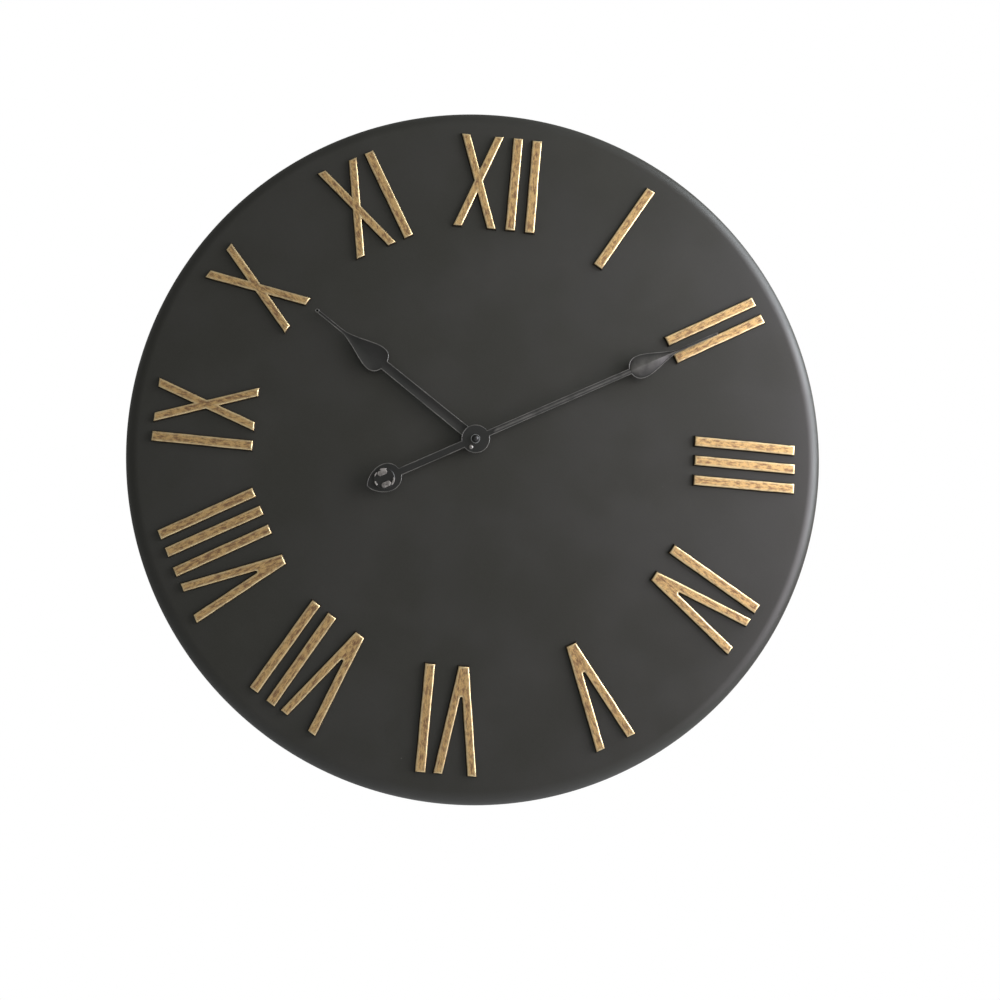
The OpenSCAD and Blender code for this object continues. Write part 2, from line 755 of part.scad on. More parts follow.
// outline of the lamination: a ring round the rotor, two arms, and the core that joins them
module stator_2d() {
    right = core_x + stator_arm_w / 2;
    difference() {
        union() {
            translate(rotor_at) circle(r = stator_ring_r);
            // upper arm to the top of the core
            translate([rotor_at[0], arm_top - stator_arm_w]) square([right - rotor_at[0], stator_arm_w]);
            // lower arm, down past the third wheel and across to the foot of the core
            translate([rotor_at[0], rotor_at[1] - stator_arm_w])
                square([arm_x - rotor_at[0] + stator_arm_w, stator_arm_w]);
            translate([arm_x, core_bottom]) square([stator_arm_w, rotor_at[1] - core_bottom]);
            translate([arm_x, core_bottom]) square([right - arm_x, stator_arm_w]);
            translate([right - stator_arm_w, core_bottom]) square([stator_arm_w, arm_top - core_bottom]);
        }
        translate(rotor_at) circle(r = magnet_r + stator_gap);
    }
}

module stator() {
    color([0.55, 0.55, 0.57]) stand_up() translate([0, 0, stator_z])
        linear_extrude(height = stator_t) stator_2d();
}

// turns a coil part so that it lies along the core
module along_core() {
    translate([core_x, 0, coil_z]) rotate([-90, 0, 0]) children();
}

module coil_bobbin() {
    slot_gap = 0.1;
    color([0.9, 0.9, 0.88]) stand_up() difference() {
        along_core() {
            for (y = [bobbin_from, bobbin_to - bobbin_flange_t])
                translate([0, 0, y]) cylinder(r = bobbin_flange_r, h = bobbin_flange_t);
            translate([0, 0, bobbin_from]) cylinder(r = bobbin_barrel_r, h = bobbin_to - bobbin_from);
        }
        translate([core_x - stator_arm_w / 2 - slot_gap, bobbin_from - 1, stator_z - slot_gap])
            cube([stator_arm_w + 2 * slot_gap, bobbin_to - bobbin_from + 2, stator_t + 2 * slot_gap]);
    }
}

module coil_winding() {
    color([0.7, 0.35, 0.15]) stand_up() along_core() translate([0, 0, bobbin_from + bobbin_flange_t])
        ring(winding_r, bobbin_barrel_r, bobbin_to - bobbin_from - 2 * bobbin_flange_t);
}

module circuit_board() {
    color([0.1, 0.35, 0.18]) stand_up() translate([board_min[0], board_min[1], board_z])
        cube([board_max[0] - board_min[0], board_max[1] - board_min[1], board_t]);
}

// watch crystal in its can, lying on the back of the board
module quartz_crystal() {
    color("silver") stand_up() translate([board_min[0] + 4, board_min[1] + 4, board_z - crystal_r])
        rotate([-90, 0, 0]) cylinder(r = crystal_r, h = crystal_len);
}

module chip_cover() {
    color([0.05, 0.05, 0.05]) stand_up()
        translate([board_min[0] + 10, board_max[1] - 8, board_z - chip_t]) cylinder(r = chip_r, h = chip_t);
}

module positive_contact() {
    color("silver") stand_up() translate([inner_w / 2 - contact_t, bay_y - 5, case_back + 2])
        cube([contact_t, 10, case_floor - case_back - 2]);
}

// plate with a short conical spring, drawn as rings that run into each other
module negative_contact() {
    wire_r = 0.45;
    coils = [[0.8, 3.6], [1.4, 3.0], [2.0, 2.4], [2.4, 1.8]];
    color("silver") stand_up() {
        translate([-inner_w / 2, bay_y - 5, case_back + 2]) cube([contact_t, 10, case_floor - case_back - 2]);
        for (c = coils) translate([-inner_w / 2 + c[0], bay_y, battery_z]) rotate([0, 90, 0])
            rotate_extrude() translate([c[1], 0]) circle(r = wire_r, $fn = 24);
    }
}

module battery() {
    nub_x = inner_w / 2 - contact_t;
    color([0.15, 0.25, 0.2]) stand_up() translate([nub_x, bay_y, battery_z]) rotate([0, -90, 0]) {
        cylinder(r = battery_nub_r, h = battery_nub_len + eps);
        translate([0, 0, battery_nub_len]) cylinder(r = battery_r, h = battery_len);
    }
}

// ================= one line per sub-part =================

dial_pan();
for (hour = [1:12]) for (k = [0:len(LETTERS[hour - 1]) - 1])
    numeral_piece(hour, k);
stud_push_nuts();
hanger_bracket();
wall_pads();
movement_case();
movement_cover();
rubber_gasket();
threaded_bushing();
dial_washer();
fixing_nut();
hour_wheel();
hour_hand();
hour_hand_collet();
minute_hand();
minute_hand_collet();
tail_counterweight();
hand_nut();
centre_wheel();
motion_wheel();
third_wheel();
second_wheel();
intermediate_wheel();
rotor();
stator();
coil_bobbin();
coil_winding();
train_bridge();
circuit_board();
quartz_crystal();
chip_cover();
positive_contact();
negative_contact();
battery();
setting_knob();
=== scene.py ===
# %% [markdown]
# # A large wall clock with raised Roman numerals
# The clock is a shallow pan of pressed steel, powder coated in charcoal, with brass numerals
# pinned to its face and two black hands over a small quartz movement.
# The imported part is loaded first. It holds every size and every joint, so each piece
# below takes its place from it and only adds shape and finish.

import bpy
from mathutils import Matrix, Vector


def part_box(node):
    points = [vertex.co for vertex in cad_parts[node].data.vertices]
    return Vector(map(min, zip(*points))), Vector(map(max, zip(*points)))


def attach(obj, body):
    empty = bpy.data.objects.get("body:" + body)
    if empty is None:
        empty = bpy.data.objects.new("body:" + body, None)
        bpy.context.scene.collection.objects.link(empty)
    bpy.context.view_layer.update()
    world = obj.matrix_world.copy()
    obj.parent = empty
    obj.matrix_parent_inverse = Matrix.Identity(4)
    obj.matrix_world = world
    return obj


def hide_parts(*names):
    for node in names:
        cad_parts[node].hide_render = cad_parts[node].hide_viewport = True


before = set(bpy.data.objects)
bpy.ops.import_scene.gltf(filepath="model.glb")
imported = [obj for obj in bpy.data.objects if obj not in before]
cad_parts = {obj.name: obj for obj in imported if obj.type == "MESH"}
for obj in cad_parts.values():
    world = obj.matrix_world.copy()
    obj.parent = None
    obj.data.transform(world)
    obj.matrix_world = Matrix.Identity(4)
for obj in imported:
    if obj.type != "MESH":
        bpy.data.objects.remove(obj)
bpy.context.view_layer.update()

# %% [markdown]
# ## One drawing plane
# A clock is drawn flat: x to the right, y up, and z from the wall to the viewer, in millimetres.
# Each piece is drawn in that plane and a single matrix stands it upright in metres.
# Drawing everything in world metres would work too, but every number would be harder to read.

# %% The clock's plane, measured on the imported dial
import math
import random

import bmesh
import bpy
from mathutils import Matrix, Quaternion, Vector, noise

MM = 0.001
pan_low, pan_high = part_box("dial_pan")
dial_r = round(pan_high.x / MM, 1)
dial_z = round(-pan_low.y / MM, 1)
axis_height = round((pan_low.z + pan_high.z) / 2 / MM, 1)
CLOCK_PLANE = (
    Matrix.Translation((0, 0, axis_height * MM))
    @ Matrix.Rotation(math.radians(90), 4, "X")
    @ Matrix.Scale(MM, 4)
)
print("dial radius", dial_r, "face at", dial_z, "hand axis at height", axis_height)


def depth(node):
    """Back and front of a CAD node, in millimetres from the wall."""
    low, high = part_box(node)
    return -high.y / MM, -low.y / MM


def centre(node):
    """Middle of a CAD node in the clock's plane."""
    low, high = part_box(node)
    return (low.x + high.x) / 2 / MM, (low.z + high.z) / 2 / MM - axis_height


def size(node):
    """Width, height and thickness of a CAD node, in millimetres."""
    low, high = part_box(node)
    return (high.x - low.x) / MM, (high.z - low.z) / MM, (high.y - low.y) / MM


# %% [markdown]
# ## Camera
# The camera stands a little under a metre away, a hand's breadth below the middle, with
# the camera almost square to the wall and held a few degrees off level. The frame is then cut
# off centre, which is what the small shift does: the rim stays a true circle although the eye
# is low. The camera comes first, so that each piece can be judged as it is made.

# %% Camera in front of the dial
eye_right = -31.6
eye_below_axis = 100.6
eye_from_face = 857
aim_right = -29.1
aim_above_axis = 36.4
roll = 5.37
view_width = 52.75

camera_data = bpy.data.cameras.new("camera")
camera_data.angle = math.radians(view_width)
camera_data.clip_start = 0.01
camera_data.shift_x = 0.055
camera_data.shift_y = -0.105
camera = bpy.data.objects.new("camera", camera_data)
bpy.context.scene.collection.objects.link(camera)
eye = CLOCK_PLANE @ Vector((eye_right, -eye_below_axis, dial_z + eye_from_face))
aim = CLOCK_PLANE @ Vector((aim_right, aim_above_axis, dial_z))
camera.location = eye
camera.rotation_mode = "QUATERNION"
level = (aim - eye).to_track_quat("-Z", "Y")
camera.rotation_quaternion = level @ Quaternion((0, 0, 1), math.radians(roll))
bpy.context.scene.camera = camera
print("camera at", tuple(round(c, 3) for c in eye), "looks at", tuple(round(c, 3) for c in aim))

# %% [markdown]
# ## Light, floor and background
# The real clock hangs beside a large window: its face is dim and even, its right side is
# lighter, and the rounded shoulder carries one long cool highlight. So there is one tall
# light far to the upper right, almost level with the wall, a nearer and weaker one that lifts
# the right side of the face, and a faint one from the front.
# The floor and the background are plain and pale. They are drawn white for the camera only,
# so that they don't flood the dark paint with light.

# %% Studio


def area_light(name, place, target, width, height, power, colour):
    data = bpy.data.lights.new(name, "AREA")
    data.shape = "RECTANGLE"
    data.size = width
    data.size_y = height
    data.energy = power
    data.color = colour
    light = bpy.data.objects.new(name, data)
    light.location = place
    light.rotation_mode = "QUATERNION"
    light.rotation_quaternion = (Vector(target) - Vector(place)).to_track_quat("-Z", "Y")
    bpy.context.scene.collection.objects.link(light)
    return light


face_middle = (0, 0, axis_height * MM)
area_light("window", (1.75, -0.38, 0.66), face_middle, 1.3, 2.2, 60, (0.88, 0.95, 1.0))
area_light("side_glow", (1.05, -0.55, -0.02), face_middle, 0.8, 1.4, 16.5, (1.0, 0.92, 1.0))
area_light("front_fill", (0.9, -2.4, 0.9), face_middle, 1.8, 1.8, 5, (0.97, 1.0, 0.88))

PALE = (1.0, 1.0, 1.0, 1)
ROOM = (0.27, 0.27, 0.26, 1)
world = bpy.data.worlds.new("studio")
world.use_nodes = True
sky = world.node_tree
sky.nodes.clear()
seen = sky.nodes.new("ShaderNodeBackground")
seen.inputs["Color"].default_value = PALE
felt = sky.nodes.new("ShaderNodeBackground")
felt.inputs["Color"].default_value = ROOM
who = sky.nodes.new("ShaderNodeLightPath")
blend = sky.nodes.new("ShaderNodeMixShader")
out = sky.nodes.new("ShaderNodeOutputWorld")
sky.links.new(who.outputs["Is Camera Ray"], blend.inputs[0])
sky.links.new(felt.outputs[0], blend.inputs[1])
sky.links.new(seen.outputs[0], blend.inputs[2])
sky.links.new(blend.outputs[0], out.inputs[0])
bpy.context.scene.world = world
bpy.context.scene.view_settings.view_transform = "Standard"

# %% [markdown]
# ## A short way to write shader nodes
# Every finish below is a small tree of nodes. `add` makes one node and fills its inputs:
# a plain value is typed in, and an output of another node is linked.

# %% Helpers for shader trees


def add(tree, kind, values=(), **settings):
    """Adds a node. `values` maps input names to numbers, colours or other nodes' outputs."""
    made = tree.nodes.new(kind)
    for key, value in settings.items():
        setattr(made, key, value)
    for key, value in dict(values).items():
        socket = made.inputs[key]
        if isinstance(value, bpy.types.NodeSocket):
            tree.links.new(value, socket)
        else:
            socket.default_value = value
    return made


def maths(tree, operation, a, b=0.0):
    return add(tree, "ShaderNodeMath", {0: a, 1: b}, operation=operation).outputs[0]


def ramp(tree, value, low, high, to_low=0.0, to_high=1.0):
    """Maps low..high to to_low..to_high, smoothly, and stays inside."""
    made = add(
        tree,
        "ShaderNodeMapRange",
        {0: value, 1: low, 2: high, 3: to_low, 4: to_high},
        interpolation_type="SMOOTHSTEP",
    )
    return made.outputs[0]


def tint(tree, factor, a, b, how="MIX"):
    """Mixes colour b over colour a."""
    made = add(tree, "ShaderNodeMix", {0: factor, 6: a, 7: b}, data_type="RGBA", blend_type=how)
    return made.outputs[2]


def attribute(tree, name, output="Fac"):
    return add(tree, "ShaderNodeAttribute", attribute_name=name).outputs[output]


def noise_at(tree, place, scale, detail=2.0, roughness=0.5, output="Fac"):
    values = {"Vector": place, "Scale": scale, "Detail": detail, "Roughness": roughness}
    return add(tree, "ShaderNodeTexNoise", values).outputs[output]


def effect(name, inputs, outputs, build):
    """A shader node group with named number inputs and outputs. `build` returns its outputs."""
    group = bpy.data.node_groups.new(name, "ShaderNodeTree")
    for label, value in inputs.items():
        socket = group.interface.new_socket(name=label, in_out="INPUT", socket_type="NodeSocketFloat")
        socket.default_value = value
    for label in outputs:
        group.interface.new_socket(name=label, in_out="OUTPUT", socket_type="NodeSocketFloat")
    inside = group.nodes.new("NodeGroupInput").outputs
    end = group.nodes.new("NodeGroupOutput")
    for label, value in build(group, inside).items():
        group.links.new(value, end.inputs[label])
    print("effect", name, "gives", ", ".join(outputs))
    return group


def place_effect(tree, group, **values):
    """Puts an effect in a material. Underscores in the names stand for spaces."""
    made = tree.nodes.new("ShaderNodeGroup")
    made.node_tree = group
    for key, value in values.items():
        made.inputs[key.replace("_", " ")].default_value = value
    return made.outputs


def finish(name, colour, roughness, metallic=0.0, height=None, relief=0.0001, strength=1.0, **fixed):
    """Ends a material: `colour`, `roughness` and `metallic` are outputs or plain values."""
    tree = MATERIALS[name].node_tree
    surface = add(tree, "ShaderNodeBsdfPrincipled")
    named = {"Base Color": colour, "Roughness": roughness, "Metallic": metallic}
    for key, value in {**named, **{k.replace("_", " "): v for k, v in fixed.items()}}.items():
        if isinstance(value, bpy.types.NodeSocket):
            tree.links.new(value, surface.inputs[key])
        else:
            surface.inputs[key].default_value = value
    if height is not None:
        values = {"Height": height, "Distance": relief, "Strength": strength}
        bump = add(tree, "ShaderNodeBump", values)
        tree.links.new(bump.outputs[0], surface.inputs["Normal"])
    end = add(tree, "ShaderNodeOutputMaterial")
    tree.links.new(surface.outputs[0], end.inputs[0])
    print("finish", name, "has", len(tree.nodes), "nodes")


MATERIALS = {}


def start(name):
    """An empty material and its tree."""
    material = bpy.data.materials.new(name)
    material.use_nodes = True
    material.node_tree.nodes.clear()
    MATERIALS[name] = material
    return material.node_tree


def here(tree):
    """Place on the piece at rest, in metres."""
    return add(tree, "ShaderNodeTexCoord").outputs["Object"]


# %% [markdown]
# ## Effects that several finishes share
# Grain, mottling, dust, worn edges and fine scratches turn up on the dial, the numerals, the hands
# and the small hardware. On the black finishes the worn edges also carry a painted glint, and the
# numerals' dark sides carry a painted contact shadow. Each is made once as a node group with its own
# named inputs, so that a change to the effect reaches every finish that uses it.

# %% Powder coat grain


def build_grain(tree, given):
    place = here(tree)
    fine = noise_at(tree, place, given["Grain Scale"], 2.0, 0.6)
    orange_peel = noise_at(tree, place, given["Peel Scale"], 1.0, 0.4)
    mottle = noise_at(tree, place, given["Mottle Scale"], 3.0, 0.55)
    height = maths(tree, "MULTIPLY_ADD", fine, 0.55)
    tree.links.new(orange_peel, height.node.inputs[2])
    return {"Height": height, "Grain": fine, "Mottle": ramp(tree, mottle, 0.3, 0.7)}


COAT_GRAIN = effect(
    "Coat Grain",
    {"Grain Scale": 1500.0, "Peel Scale": 320.0, "Mottle Scale": 14.0},
    ["Height", "Grain", "Mottle"],
    build_grain,
)

# %% Dust and nibs


def build_dust(tree, given):
    place = here(tree)
    cells = add(tree, "ShaderNodeTexVoronoi", {"Vector": place, "Scale": given["Speck Scale"]})
    near = ramp(tree, cells.outputs["Distance"], 0.0, given["Speck Size"], 1.0, 0.0)
    pick = add(tree, "ShaderNodeSeparateColor", {0: cells.outputs["Color"]}).outputs[0]
    chosen = ramp(tree, pick, given["Rarity"], 1.0)
    film = ramp(tree, noise_at(tree, place, 9.0, 5.0, 0.65), 0.45, 0.8)
    return {"Specks": maths(tree, "MULTIPLY", near, chosen), "Film": film}


DUST = effect(
    "Dust",
    {"Speck Scale": 60.0, "Speck Size": 0.05, "Rarity": 0.9},
    ["Specks", "Film"],
    build_dust,
)

# %% Worn edges with painted glints, and dark sides with painted contact shadow


def build_wear(tree, given):
    # lighter on worn edges: real wear on the brass, partly a painted highlight on the black finishes
    edge = attribute(tree, "edge_wear_and_glint")
    broken = noise_at(tree, here(tree), given["Break Scale"], 4.0, 0.6)
    kept = ramp(tree, broken, given["Cover"], 0.75, 1.0, 0.25)
    wear_and_glint = maths(tree, "MULTIPLY", edge, kept)
    # the dark side value is the letters' near-black side wall and its painted contact shadow
    return {"Wear And Glint": wear_and_glint, "Dark Side And Painted Shadow": attribute(tree, "dark_side_and_painted_shadow")}


EDGE_WEAR_AND_GLINT = effect(
    "Edge Wear",
    {"Break Scale": 260.0, "Cover": 0.4},
    ["Wear And Glint", "Dark Side And Painted Shadow"],
    build_wear,
)

# %% Brushed streaks


def build_brush(tree, given):
    # the stroke's own coordinates: across, along and a number of its own
    stroke = attribute(tree, "stroke_place", "Vector")
    drawn = add(tree, "ShaderNodeMapping", {"Vector": stroke, "Scale": (1.0, 0.045, 1.0)})
    drawn.vector_type = "POINT"
    streaks = noise_at(tree, drawn.outputs[0], given["Streak Scale"], 4.0, 0.65)
    squeezed = add(tree, "ShaderNodeMapping", {"Vector": stroke, "Scale": (1.0, 0.42, 1.0)})
    patches = noise_at(tree, squeezed.outputs[0], given["Patch Scale"], 5.0, 0.62)
    spots = noise_at(tree, squeezed.outputs[0], given["Spot Scale"], 4.0, 0.7)
    return {"Streaks": streaks, "Patches": patches, "Spots": ramp(tree, spots, 0.53, 0.68)}


BRUSHED = effect(
    "Brushed",
    {"Streak Scale": 2.6, "Patch Scale": 0.42, "Spot Scale": 1.5},
    ["Streaks", "Patches", "Spots"],
    build_brush,
)

# %% Fine scratches and spangle on bare metal


def build_scratches(tree, given):
    place = here(tree)
    along = add(tree, "ShaderNodeMapping", {"Vector": place, "Scale": (1.0, 1.0, 0.03)})
    lines = noise_at(tree, along.outputs[0], given["Scratch Scale"], 3.0, 0.7)
    cells = add(tree, "ShaderNodeTexVoronoi", {"Vector": place, "Scale": given["Spangle Scale"]})
    shade = add(tree, "ShaderNodeSeparateColor", {0: cells.outputs["Color"]}).outputs[0]
    return {"Scratches": lines, "Spangle": shade}


SCRATCHES = effect(
    "Bare Metal",
    {"Scratch Scale": 1800.0, "Spangle Scale": 420.0},
    ["Scratches", "Spangle"],
    build_scratches,
)

# %% [markdown]
# ## The finishes
# The dial's powder coat is nearly black and not quite even: it leans to olive in some places and
# to a brownish grey in others, and has an orange-peel grain that spreads its highlights.
# The numerals are cast brass, darkened brown, then rubbed back so that the edges shine; their
# sides are near black, and a near-black skirt round their foot is a painted contact shadow.
# The hands are stamped steel in satin black enamel, lighter along its raised edges: partly thinned enamel,
# partly a painted highlight.

# %% Charcoal powder coat
tree = start("charcoal_paint")
grain = place_effect(tree, COAT_GRAIN)
dust = place_effect(tree, DUST, Speck_Scale=55.0, Speck_Size=0.035, Rarity=0.93)
coat = tint(tree, grain["Mottle"], (0.0212, 0.021, 0.0163, 1), (0.0245, 0.024, 0.0203, 1))
coat = tint(tree, ramp(tree, grain["Grain"], 0.35, 0.7, 0.0, 0.35), coat, (0.032, 0.032, 0.0275, 1))
coat = tint(tree, maths(tree, "MULTIPLY", dust["Film"], 0.06), coat, (0.12, 0.115, 0.1, 1))
coat = tint(tree, maths(tree, "MULTIPLY", dust["Specks"], 0.5), coat, (0.3, 0.29, 0.26, 1))
gloss = ramp(tree, grain["Mottle"], 0.0, 1.0, 0.43, 0.5)
finish("charcoal_paint", coat, gloss, height=grain["Height"], relief=0.00005, strength=0.5)

# %% Antique brass
tree = start("antique_brass")
brush = place_effect(tree, BRUSHED)
wear_and_glint = place_effect(tree, EDGE_WEAR_AND_GLINT, Break_Scale=240.0, Cover=0.38)
gold = (0.76, 0.51, 0.225, 1)
brown = (0.31, 0.175, 0.095, 1)
rubbed = maths(tree, "MULTIPLY_ADD", brush["Patches"], 0.62)
tree.links.new(maths(tree, "MULTIPLY", brush["Streaks"], 0.38), rubbed.node.inputs[2])
metal = tint(tree, ramp(tree, rubbed, 0.40, 0.56), brown, gold)
metal = tint(tree, maths(tree, "MULTIPLY", brush["Spots"], 0.65), metal, (0.10, 0.055, 0.028, 1))
metal = tint(tree, wear_and_glint["Wear And Glint"], metal, (0.93, 0.74, 0.42, 1))
# near black on the side walls and on the skirt round each letter's foot, where it is a painted contact
# shadow; less metallic there too
metal = tint(tree, wear_and_glint["Dark Side And Painted Shadow"], metal, (0.014, 0.011, 0.008, 1))
bright = ramp(tree, wear_and_glint["Wear And Glint"], 0.0, 1.0, 0.46, 0.34)
relief = maths(tree, "MULTIPLY_ADD", brush["Streaks"], 0.5)
tree.links.new(brush["Patches"], relief.node.inputs[2])
shine = ramp(tree, wear_and_glint["Dark Side And Painted Shadow"], 0.0, 1.0, 0.82, 0.3)
finish("antique_brass", metal, bright, shine, relief, 0.0002, 0.6)

# %% Black enamel
tree = start("black_enamel")
grain = place_effect(tree, COAT_GRAIN, Grain_Scale=900.0, Peel_Scale=240.0, Mottle_Scale=40.0)
wear_and_glint = place_effect(tree, EDGE_WEAR_AND_GLINT, Break_Scale=90.0, Cover=0.3)
dust = place_effect(tree, DUST, Speck_Scale=160.0, Speck_Size=0.06, Rarity=0.85)
enamel = tint(tree, grain["Mottle"], (0.012, 0.0125, 0.0115, 1), (0.019, 0.0185, 0.0175, 1))
enamel = tint(tree, maths(tree, "MULTIPLY", dust["Specks"], 0.35), enamel, (0.2, 0.19, 0.18, 1))
# lighter grey on the hands' raised borders, ridge and tip rings: partly thinned enamel, partly a painted
# highlight
enamel = tint(tree, maths(tree, "MULTIPLY", wear_and_glint["Wear And Glint"], 0.8), enamel, (0.185, 0.18, 0.165, 1))
gloss = ramp(tree, wear_and_glint["Wear And Glint"], 0.0, 1.0, 0.36, 0.27)
finish("black_enamel", enamel, gloss, height=grain["Height"], relief=0.00004, strength=0.5)

# %% Glossy black for the counterweight's lugs and the hub rivet, with painted glints on their tops
tree = start("black_gloss")
grain = place_effect(tree, COAT_GRAIN, Grain_Scale=700.0, Peel_Scale=300.0, Mottle_Scale=120.0)
wear_and_glint = place_effect(tree, EDGE_WEAR_AND_GLINT, Break_Scale=200.0, Cover=0.3)
shiny = tint(tree, grain["Mottle"], (0.035, 0.033, 0.03, 1), (0.075, 0.07, 0.065, 1))
# light grey where the mask is high: a painted glint on the lugs, the rivet and the bead's top, partly wear
shiny = tint(tree, maths(tree, "MULTIPLY", wear_and_glint["Wear And Glint"], 0.85), shiny, (0.5, 0.47, 0.44, 1))
gloss = ramp(tree, grain["Grain"], 0.3, 0.7, 0.14, 0.24)
finish("black_gloss", shiny, gloss, 0.35, grain["Height"], 0.00008, 0.5, Coat_Weight=0.6)

# %% Zinc plate, turned brass and copper wire


def bare_metal(name, dark, light, rough, scratch_scale=1800.0):
    tree = start(name)
    metal = place_effect(tree, SCRATCHES, Scratch_Scale=scratch_scale)
    dust = place_effect(tree, DUST, Speck_Scale=200.0)
    colour = tint(tree, metal["Spangle"], dark, light)
    colour = tint(tree, maths(tree, "MULTIPLY", dust["Film"], 0.25), colour, (0.2, 0.18, 0.15, 1))
    gloss = ramp(tree, metal["Scratches"], 0.3, 0.7, rough, rough + 0.16)
    finish(name, colour, gloss, 0.95, metal["Scratches"], 0.00003, 0.6)


bare_metal("zinc_steel", (0.50, 0.52, 0.54, 1), (0.66, 0.67, 0.68, 1), 0.3)
bare_metal("plain_brass", (0.72, 0.53, 0.24, 1), (0.82, 0.63, 0.32, 1), 0.22, 2600.0)
bare_metal("copper_wire", (0.55, 0.22, 0.09, 1), (0.7, 0.32, 0.15, 1), 0.3, 5200.0)

# %% Moulded plastics and rubber


def moulded(name, dark, light, rough, relief, grain_scale=2400.0):
    tree = start(name)
    grain = place_effect(tree, COAT_GRAIN, Grain_Scale=grain_scale, Peel_Scale=500.0, Mottle_Scale=70.0)
    dust = place_effect(tree, DUST, Speck_Scale=240.0, Speck_Size=0.05, Rarity=0.88)
    colour = tint(tree, grain["Mottle"], dark, light)
    colour = tint(tree, maths(tree, "MULTIPLY", dust["Film"], 0.08), colour, (0.3, 0.28, 0.25, 1))
    colour = tint(tree, maths(tree, "MULTIPLY", dust["Specks"], 0.4), colour, (0.4, 0.38, 0.35, 1))
    gloss = ramp(tree, grain["Grain"], 0.3, 0.7, rough - 0.06, rough + 0.06)
    finish(name, colour, gloss, height=grain["Height"], relief=relief, strength=0.6)


moulded("black_plastic", (0.017, 0.017, 0.019, 1), (0.026, 0.026, 0.028, 1), 0.46, 0.00006)
moulded("ivory_acetal", (0.76, 0.72, 0.60, 1), (0.84, 0.80, 0.70, 1), 0.36, 0.00002)
moulded("magnet_grey", (0.09, 0.09, 0.10, 1), (0.15, 0.15, 0.16, 1), 0.55, 0.00005)
moulded("black_rubber", (0.020, 0.020, 0.020, 1), (0.034, 0.033, 0.032, 1), 0.8, 0.00008, 1500.0)
moulded("board_green", (0.025, 0.13, 0.055, 1), (0.04, 0.18, 0.08, 1), 0.3, 0.00003)
moulded("battery_sleeve", (0.035, 0.065, 0.085, 1), (0.05, 0.085, 0.11, 1), 0.25, 0.00001)

# %% Every CAD node takes the finish of its slot, until a piece replaces it
NODE_FINISH = {
    "charcoal_paint": ["dial_pan"],
    "black_enamel": ["hour_hand", "minute_hand", "tail_counterweight", "hand_nut"],
    "zinc_steel": [
        "stud_push_nuts", "hanger_bracket", "dial_washer", "hour_hand_collet",
        "minute_hand_collet", "stator", "quartz_crystal", "positive_contact", "negative_contact",
    ],
    "plain_brass": ["threaded_bushing", "fixing_nut"],
    "black_plastic": ["movement_case", "movement_cover", "setting_knob", "chip_cover"],
    "ivory_acetal": [
        "hour_wheel", "centre_wheel", "motion_wheel", "third_wheel",
        "second_wheel", "intermediate_wheel", "coil_bobbin", "train_bridge",
    ],
    "magnet_grey": ["rotor"],
    "black_rubber": ["rubber_gasket", "wall_pads"],
    "copper_wire": ["coil_winding"],
    "board_green": ["circuit_board"],
    "battery_sleeve": ["battery"],
}
node_slot = {node: slot for slot, nodes in NODE_FINISH.items() for node in nodes}
for name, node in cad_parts.items():
    slot = node_slot.get(name, "antique_brass")
    node.data.materials.clear()
    node.data.materials.append(MATERIALS[slot])
print("finished nodes", len(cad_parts))

# %% [markdown]
# ## Floor
# The clock hangs on a wall, so the floor is far below it. It is a plain pale plane.

# %% Plain pale floor
FLOOR_Z = -1.5
floor_material = bpy.data.materials.new("pale_floor")
floor_material.use_nodes = True
tree = floor_material.node_tree
tree.nodes.clear()
matt = add(tree, "ShaderNodeBsdfDiffuse", {"Color": (0.8, 0.8, 0.8, 1)})
white = add(tree, "ShaderNodeEmission", {"Color": PALE})
path = add(tree, "ShaderNodeLightPath")
shown = add(tree, "ShaderNodeMixShader", {0: path.outputs["Is Camera Ray"]})
tree.links.new(matt.outputs[0], shown.inputs[1])
tree.links.new(white.outputs[0], shown.inputs[2])
end = add(tree, "ShaderNodeOutputMaterial", {0: shown.outputs[0]})
bpy.ops.mesh.primitive_plane_add(size=40, location=(0, 0, FLOOR_Z))
floor = bpy.context.object
floor.name = "floor"
floor.data.materials.append(floor_material)
print("floor", abs(FLOOR_Z), "m below the hanging hole")

# %% [markdown]
# ## Three ways to make a solid
# Almost every piece of a clock is turned, stamped or cast flat. `lathe` spins a section round an
# axis, `slab` stacks outlines that shrink a little near the top so that the edges are rounded,
# and `cut` drills or mills with a second solid. Each keeps two numbers on its points:
# how worn the paint or patina is there, which on the black finishes also paints a glint, and how
# dark the side wall is, which at a numeral's foot also paints a contact shadow on the dial.

# %% Mesh helpers


def new_piece():
    bm = bmesh.new()
    bm.verts.layers.float.new("edge_wear_and_glint")
    bm.verts.layers.float.new("dark_side_and_painted_shadow")
    bm.verts.layers.float_vector.new("stroke_place")
    return bm


def arc(cx, cy, r, start, end, steps):
    """Points of an arc, from start to end in degrees."""
    turns = [math.radians(start + (end - start) * i / steps) for i in range(steps + 1)]
    return [(cx + r * math.cos(t), cy + r * math.sin(t)) for t in turns]


def bridge(bm, lower, upper):
    n = len(lower)
    for i in range(n):
        bm.faces.new((lower[i], lower[(i + 1) % n], upper[(i + 1) % n], upper[i]))


